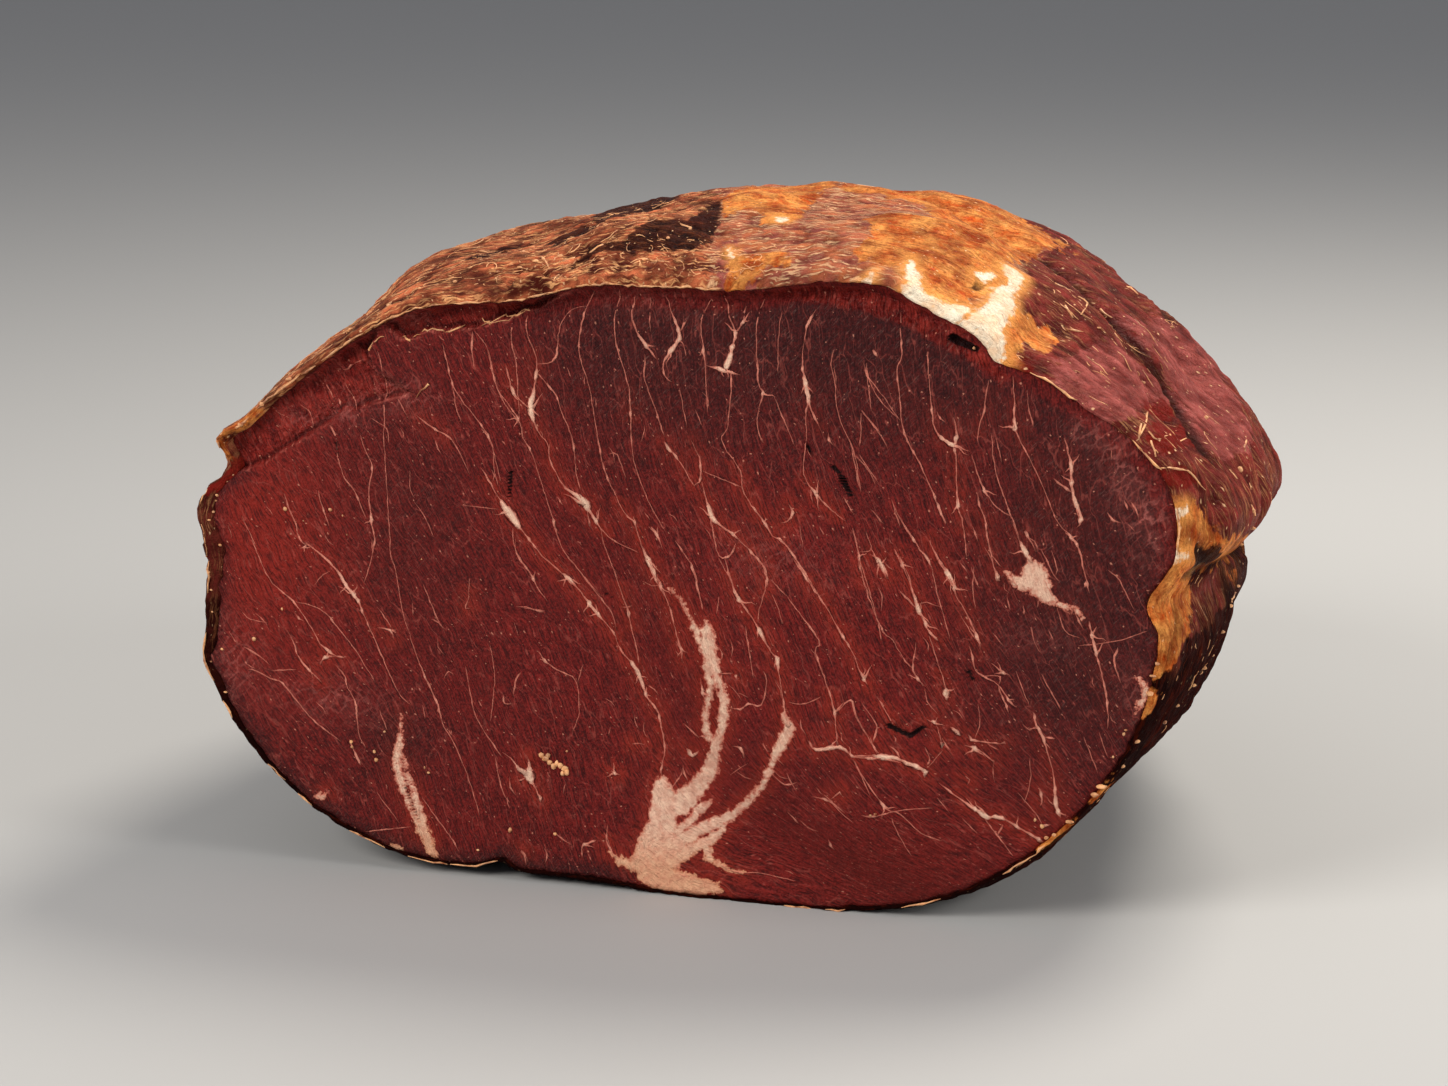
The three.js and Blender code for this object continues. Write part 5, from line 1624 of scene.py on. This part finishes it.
class BRESAOLA_OT_crust(bpy.types.Operator):
    """Model the dried crust"""

    bl_idname = "bresaola.crust"
    bl_label = "Crust"
    bl_options = {"REGISTER", "UNDO"}

    def execute(self, context):
        mesh, flat, relief = crust_mesh(context.scene.bresaola_crust)
        SURFACES["crust"] = BVHTree.FromBMesh(mesh)
        piece = make_piece("crust", mesh, "dried crust")
        set_field(piece, "round", np.stack([flat[:, 1], flat[:, 0], np.zeros(len(flat))], 1))
        drifted = far_drift(flat)
        depths = [patch_field(drifted, name) for name in CRUST_PATCHES]
        set_field(piece, "zone", np.stack(depths[:3], 1))
        set_field(piece, "stain", np.stack(depths[3:], 1))
        set_field(piece, "skin", crust_skin(flat))
        set_field(piece, "relief", relief)
        return {"FINISHED"}


# ---------------------------------------------------------------------------------------------
# Thin pieces on the cut and on the crust
def lay_marks(maker, marks, strength):
    """Lays one strip on the cut along marks of (X, Z, width)."""
    centres = drop_on_cut(marks[:, :2])
    if centres is not None:
        normals = np.tile((0.0, -1.0, 0.0), (len(marks), 1))
        rise = float(np.clip(marks[:, 2].mean() * 0.12, 0.02, 0.07))
        maker.lay(centres, normals, marks[:, 2], rise, 0.2, strength,
                  np.clip(1.1 * marks[:, 2] - 0.45, 0, 1))


def lay_vein(maker, line):
    """Lays one vein on the cut: a thin unsteady line with knots where it is drawn wide."""
    marks = smooth_line(line, 0.7)
    count = len(marks)
    x, z = marks[:, 0].copy(), marks[:, 1].copy()
    marks[:, 0] += 0.13 * flat_rough(x + 7, z, 1.1, 2)
    marks[:, 1] += 0.09 * flat_rough(x, z + 31, 1.1, 2)
    knots = flat_rough(x, z + 60, 1.0, 2)
    swell = np.maximum(marks[:, 2] - 0.24, 0)
    share = 0.2 + 1.2 * smooth(knots, -0.15, 0.55)
    share += (1.05 - share) * smooth(swell, 0.45, 0.9)
    width = 0.21 + 0.07 * knots + 1.4 * swell * share
    ends = np.minimum(np.arange(count), np.arange(count)[::-1])
    marks[:, 2] = np.maximum(width * np.clip((ends + 0.6) / 2, 0, 1) ** 0.5, 0.14)
    strength = np.clip(0.42 + 0.9 * width + 0.25 * knots, 0.2, 1)
    lay_marks(maker, marks, strength * np.clip((ends + 0.7) / 2, 0, 1))
    return marks


def lay_twigs(maker, draw, marks):
    """Lays short pointed twigs at a vein's knots, which make small stars of them."""
    for index in range(2, len(marks) - 2):
        width = marks[index, 2]
        if width < 0.7 or width < marks[index - 2:index + 3, 2].max():
            continue
        run = marks[index + 1, :2] - marks[index - 1, :2]
        heading = math.atan2(run[1], run[0])
        for _ in range(draw.choice((1, 1, 2, 2))):
            turn = heading + draw.choice((0, math.pi)) + draw.uniform(-1.1, 1.1)
            length = draw.uniform(0.7, 1.9) * (0.3 + width)
            away = np.array([math.cos(turn), math.sin(turn)]) * length
            bend = np.array([-away[1], away[0]]) * draw.uniform(-0.25, 0.25)
            start = marks[index, :2]
            twig = np.array([(*start, width * 0.7), (*(start + away * 0.35), width * 0.34),
                             (*(start + away * 0.7 + bend), 0.2), (*(start + away + bend), 0.1)])
            lay_marks(maker, twig, np.array([0.95, 0.9, 0.7, 0.4]))


def stray_line(draw):
    """A short stray vein, somewhere on the cut, along the fibres."""
    angle = draw.uniform(-180, 180)
    reach = outline(np.array([angle]))[0] * math.sqrt(draw.random()) * 0.94
    x = reach * math.cos(math.radians(angle))
    z = MIDDLE_HEIGHT + reach * math.sin(math.radians(angle))
    lean = lean_at(np.array([x]), np.array([z]))[0] + draw.uniform(-0.5, 0.5)
    length, width = draw.uniform(0.8, 3.2), draw.uniform(0.15, 0.5)
    run = np.array([math.sin(lean), -math.cos(lean)]) * length
    side = np.array([run[1], -run[0]]) * draw.uniform(-0.2, 0.2)
    middle = np.array([x, z]) + run / 2 + side
    return np.array([(x, z, width * 0.4), (*middle, width), (x + run[0], z + run[1], width * 0.3)])


class BRESAOLA_OT_hairlines(bpy.types.Operator):
    """Lay the fine veins on the cut"""

    bl_idname = "bresaola.hairlines"
    bl_label = "Hairlines"
    bl_options = {"REGISTER", "UNDO"}

    def execute(self, context):
        draw = random.Random(VEIN_SEED)
        maker = StripMaker()
        for line in FINE_LINES:
            lay_twigs(maker, draw, lay_vein(maker, line))
        for _ in range(context.scene.bresaola_cut.flecks):
            lay_vein(maker, stray_line(draw))
        piece, veins = maker.finish("hairline_veins", "cut meat", "fat")
        dress_cut(piece, veins)
        return {"FINISHED"}


def on_body(angle, y):
    """Places on the crust's plain form, from the angle and the mm back from the cut."""
    share = np.arcsin(np.clip(y / LENGTH, 0, 1)) * 2 / math.pi
    return crust_place(angle, share)


def crust_fibre(draw, low, high, near, far):
    """The course of one golden fibre, mostly along the rim, as (angle, mm back)."""
    angle, y = draw.uniform(low, high), near + (far - near) * draw.random() ** 1.3
    heading = draw.choice((0, math.pi)) + draw.uniform(-0.3, 0.3)
    curl = draw.uniform(-1, 1) ** 3 * 0.6
    length = 0.7 + 3.6 * draw.random() ** 3
    steps = max(3, int(length / 0.45))
    course = [(angle, y)]
    for _ in range(steps):
        heading += curl + draw.uniform(-0.16, 0.16)
        angle += math.degrees(math.cos(heading) * length / steps / FLAT_RADIUS)
        y = max(0.3, y + math.sin(heading) * length / steps)
        course.append((angle, y))
    return np.array(course)


def lay_on_crust(maker, places, width, rise, draw, lift=0.0):
    """Lays one fibre on the crust. Lifted ones stand off it in the middle."""
    centres, normals = drop_on_crust(places)
    count = len(centres)
    along = np.linspace(0, 1, count)
    widths = width * np.clip(np.minimum(along, 1 - along) * 5, 0.2, 1)
    widths *= np.array([draw.uniform(0.6, 1.3) for _ in range(count)])
    centres = centres + normals * (lift * np.sin(np.pi * along))[:, None]
    maker.lay(centres, normals, widths, rise, 0.25 if lift == 0 else width / 2)


class BRESAOLA_OT_fibres(bpy.types.Operator):
    """Lay the golden fibres on the crust"""

    bl_idname = "bresaola.fibres"
    bl_label = "Fibres"
    bl_options = {"REGISTER", "UNDO"}

    def execute(self, context):
        draw = random.Random(FIBRE_SEED)
        maker = StripMaker()
        total = context.scene.bresaola_crust.fibres
        for share, low, high, near, far in FIBRE_FIELDS:
            for _ in range(int(total * share)):
                course = crust_fibre(draw, low, high, near, far)
                lift = draw.choice((0, 0, 0, 0, 0.2))
                lay_on_crust(maker, on_body(course[:, 0], course[:, 1]),
                             draw.uniform(0.08, 0.2), draw.uniform(0.04, 0.1), draw, lift)
        for stroke in GOLD_STROKES:
            line = smooth_line(rows(stroke, 2), 5.0)
            lay_on_crust(maker, on_crust(line), draw.uniform(0.25, 0.45), 0.2, draw)
        maker.finish("crust_fibres", "dry flakes", "crust")
        return {"FINISHED"}


def lip_course(start, end):
    """A line along the very lip between two angles."""
    angle = np.linspace(start, end, max(4, int(abs(end - start) / 0.7)))
    gap = np.full_like(angle, 0.16)
    radius, turn = ragged_outline(angle) - gap, np.radians(angle)
    return np.stack([radius * np.cos(turn), lip_back(angle, gap) + lip_ruffle(angle),
                     MIDDLE_HEIGHT + radius * np.sin(turn)], 1)


def lay_frill(maker, centres, draw, rise):
    """A golden dried edge: a strip that stands out of the cut, ragged and unsteady."""
    if centres is None:
        return
    count = len(centres)
    shake = np.array([[draw.uniform(-0.1, 0.1), 0, draw.uniform(-0.1, 0.1)] for _ in range(count)])
    normals = np.tile((0.0, -1.0, 0.0), (count, 1))
    widths = np.array([0.3 * draw.uniform(0.5, 1.5) for _ in range(count)])
    widths[[0, -1]] *= 0.3
    maker.lay(centres + shake, normals, widths, rise, 0.35)


class BRESAOLA_OT_frills(bpy.types.Operator):
    """Lay the golden dried edges along the rim and the ledges"""

    bl_idname = "bresaola.frills"
    bl_label = "Frills"
    bl_options = {"REGISTER", "UNDO"}

    def execute(self, context):
        draw = random.Random(FRILL_SEED)
        maker = StripMaker()
        for angle, end, gap in FRILL_SPANS:
            while angle < end:
                reach = draw.uniform(2, 7)
                lay_frill(maker, lip_course(angle, angle + reach), draw, 0.2)
                angle += reach + draw.uniform(-0.6, gap)
        for edge in LEDGE_EDGES:
            places = on_cut(rows(edge, 2))
            line = smooth_line(np.column_stack([places, np.zeros(len(places))]), 0.8)[:, :2]
            line += np.array([[draw.uniform(-0.2, 0.2), draw.uniform(-0.3, 0.3)] for _ in line])
            first = 0
            while first < len(line) - 4:
                last = min(len(line), first + draw.randrange(5, 14))
                if last - first > 3 and draw.random() < 0.85:
                    lay_frill(maker, drop_on_cut(line[first:last]), draw, 0.3)
                first = last - 1
        maker.finish("dried_edges", "dry flakes", "crust")
        return {"FINISHED"}


def crumb_form(form, size, draw, wide, deep, high):
    """A crumb's points: a ball that is drawn out and dented."""
    scale = size * np.array([draw.uniform(*wide), deep, draw.uniform(*high)])
    return form * scale * (1 + 0.35 * rough(form + draw.uniform(0, 90), 0.5, 2))[:, None]


class BRESAOLA_OT_crumbs(bpy.types.Operator):
    """Scatter the bright crumbs on the cut and the beads on the crust"""

    bl_idname = "bresaola.crumbs"
    bl_label = "Crumbs"
    bl_options = {"REGISTER", "UNDO"}

    def execute(self, context):
        draw = random.Random(CRUMB_SEED)
        lump = bmesh.new()
        bmesh.ops.create_icosphere(lump, subdivisions=2, radius=0.5)
        form = read_places(lump)
        data = settled("lump", lump)
        places = []
        for across, down, size in rows(CUT_CRUMBS + CRUMB_CLUSTER, 3):
            centre = drop_on_cut(on_cut([(across, down)]))
            if centre is not None:
                shape = crumb_form(form, size, draw, (0.8, 1.3), 0.7, (0.8, 1.3))
                places.append(shape + centre[0] - (0, size * 0.12, 0))
        for across, down, size in rows(CRUST_BEADS, 3):
            shape = crumb_form(form, size, draw, (0.9, 1.6), 0.8, (0.5, 0.9))
            places.append(shape + drop_on_crust(on_crust([(across, down)]))[0][0])
        mesh = bmesh.new()
        for _ in places:
            mesh.from_mesh(data)
        write_places(mesh, np.vstack(places))
        bpy.data.meshes.remove(data)
        make_piece("crumbs", mesh, "dry flakes")
        return {"FINISHED"}


class BRESAOLA_OT_materials(bpy.types.Operator):
    """Build the shader groups and the materials"""

    bl_idname = "bresaola.materials"
    bl_label = "Materials"
    bl_options = {"REGISTER", "UNDO"}

    def execute(self, context):
        for build in (build_mottle, build_streaks, build_webbing, build_specks):
            build()
        meat_material(context.scene.bresaola_cut)
        crust_material(context.scene.bresaola_crust)
        flake_material(context.scene.bresaola_crust)
        return {"FINISHED"}


# ---------------------------------------------------------------------------------------------
# The stage
def add_light(name, place, aim, size, power, tint):
    data = bpy.data.lights.new(name, "AREA")
    data.shape = "DISK"
    data.size = size
    data.energy = power
    data.color = tint
    light = shown(name, data)
    light.location = place
    light.rotation_euler = (Vector(aim) - Vector(place)).to_track_quat("-Z", "Y").to_euler()


def add_floor(shade):
    mesh = bmesh.new()
    bmesh.ops.create_grid(mesh, x_segments=1, y_segments=1, size=6)
    floor = shown("floor", settled("floor", mesh))
    material = bpy.data.materials.new("pale floor")
    material.use_nodes = True
    shader = material.node_tree.nodes["Principled BSDF"]
    shader.inputs["Base Color"].default_value = shade
    shader.inputs["Roughness"].default_value = 0.7
    floor.data.materials.append(material)


def add_camera(scene):
    eye, right, up, backward = camera_axes()
    data = bpy.data.cameras.new("camera")
    data.lens, data.sensor_width = LENS, SENSOR
    data.clip_start = 0.01
    camera = shown("camera", data)
    turned = Matrix((right, up, backward)).transposed().to_4x4()
    camera.matrix_world = Matrix.Translation(Vector(in_frame(eye))) @ turned
    scene.camera = camera


class BRESAOLA_OT_stage(bpy.types.Operator):
    """Set up the floor, the lights and the camera"""

    bl_idname = "bresaola.stage"
    bl_label = "Stage"
    bl_options = {"REGISTER", "UNDO"}

    def execute(self, context):
        look = context.scene.bresaola_stage
        add_floor(look.floor)
        world = bpy.data.worlds.new("studio")
        world.use_nodes = True
        world.node_tree.nodes["Background"].inputs[0].default_value = (0.9, 0.92, 1, 1)
        world.node_tree.nodes["Background"].inputs[1].default_value = look.sky
        context.scene.world = world
        add_light("key", (-0.5, -0.75, 0.6), (0, 0, 0.05), 0.5, look.key, (1, 0.97, 0.94))
        add_light("back", (0.2, 0.3, 0.65), (0, 0.02, 0.07), 0.3, look.back, (1, 0.94, 0.86))
        add_light("fill", (0.85, -0.12, 0.4), (0, 0, 0.05), 0.5, look.fill, (1, 0.98, 0.96))
        add_camera(context.scene)
        context.scene.view_settings.view_transform = "Standard"
        return {"FINISHED"}


class BRESAOLA_PT_panel(bpy.types.Panel):
    """The steps that make the bresaola"""

    bl_label = "Bresaola"
    bl_idname = "BRESAOLA_PT_panel"
    bl_space_type = "VIEW_3D"
    bl_region_type = "UI"
    bl_category = "Bresaola"

    def draw(self, context):
        for operator in OPERATORS:
            self.layout.operator(operator.bl_idname)


LOOKS = {"bresaola_cut": CutLook, "bresaola_crust": CrustLook, "bresaola_stage": StageLook}
OPERATORS = (BRESAOLA_OT_materials, BRESAOLA_OT_cut, BRESAOLA_OT_crust, BRESAOLA_OT_hairlines,
             BRESAOLA_OT_fibres, BRESAOLA_OT_frills, BRESAOLA_OT_crumbs, BRESAOLA_OT_stage)


def register():
    for cls in (*LOOKS.values(), *OPERATORS, BRESAOLA_PT_panel):
        bpy.utils.register_class(cls)
    for name, cls in LOOKS.items():
        setattr(bpy.types.Scene, name, bpy.props.PointerProperty(type=cls))


def unregister():
    for name in LOOKS:
        delattr(bpy.types.Scene, name)
    for cls in (BRESAOLA_PT_panel, *reversed(OPERATORS), *reversed(tuple(LOOKS.values()))):
        bpy.utils.unregister_class(cls)


def main():
    register()
    bpy.ops.bresaola.materials()
    bpy.ops.bresaola.cut()
    bpy.ops.bresaola.crust()
    bpy.ops.bresaola.hairlines()
    bpy.ops.bresaola.fibres()
    bpy.ops.bresaola.frills()
    bpy.ops.bresaola.crumbs()
    bpy.ops.bresaola.stage()


SOLID = solid_tree()
SURFACES = {}
GRAIN = GrainMap()
FINE_LINES = fine_lines()
CRUST_OUTLINES = crust_outlines()

if __name__ == "__main__":
    main()
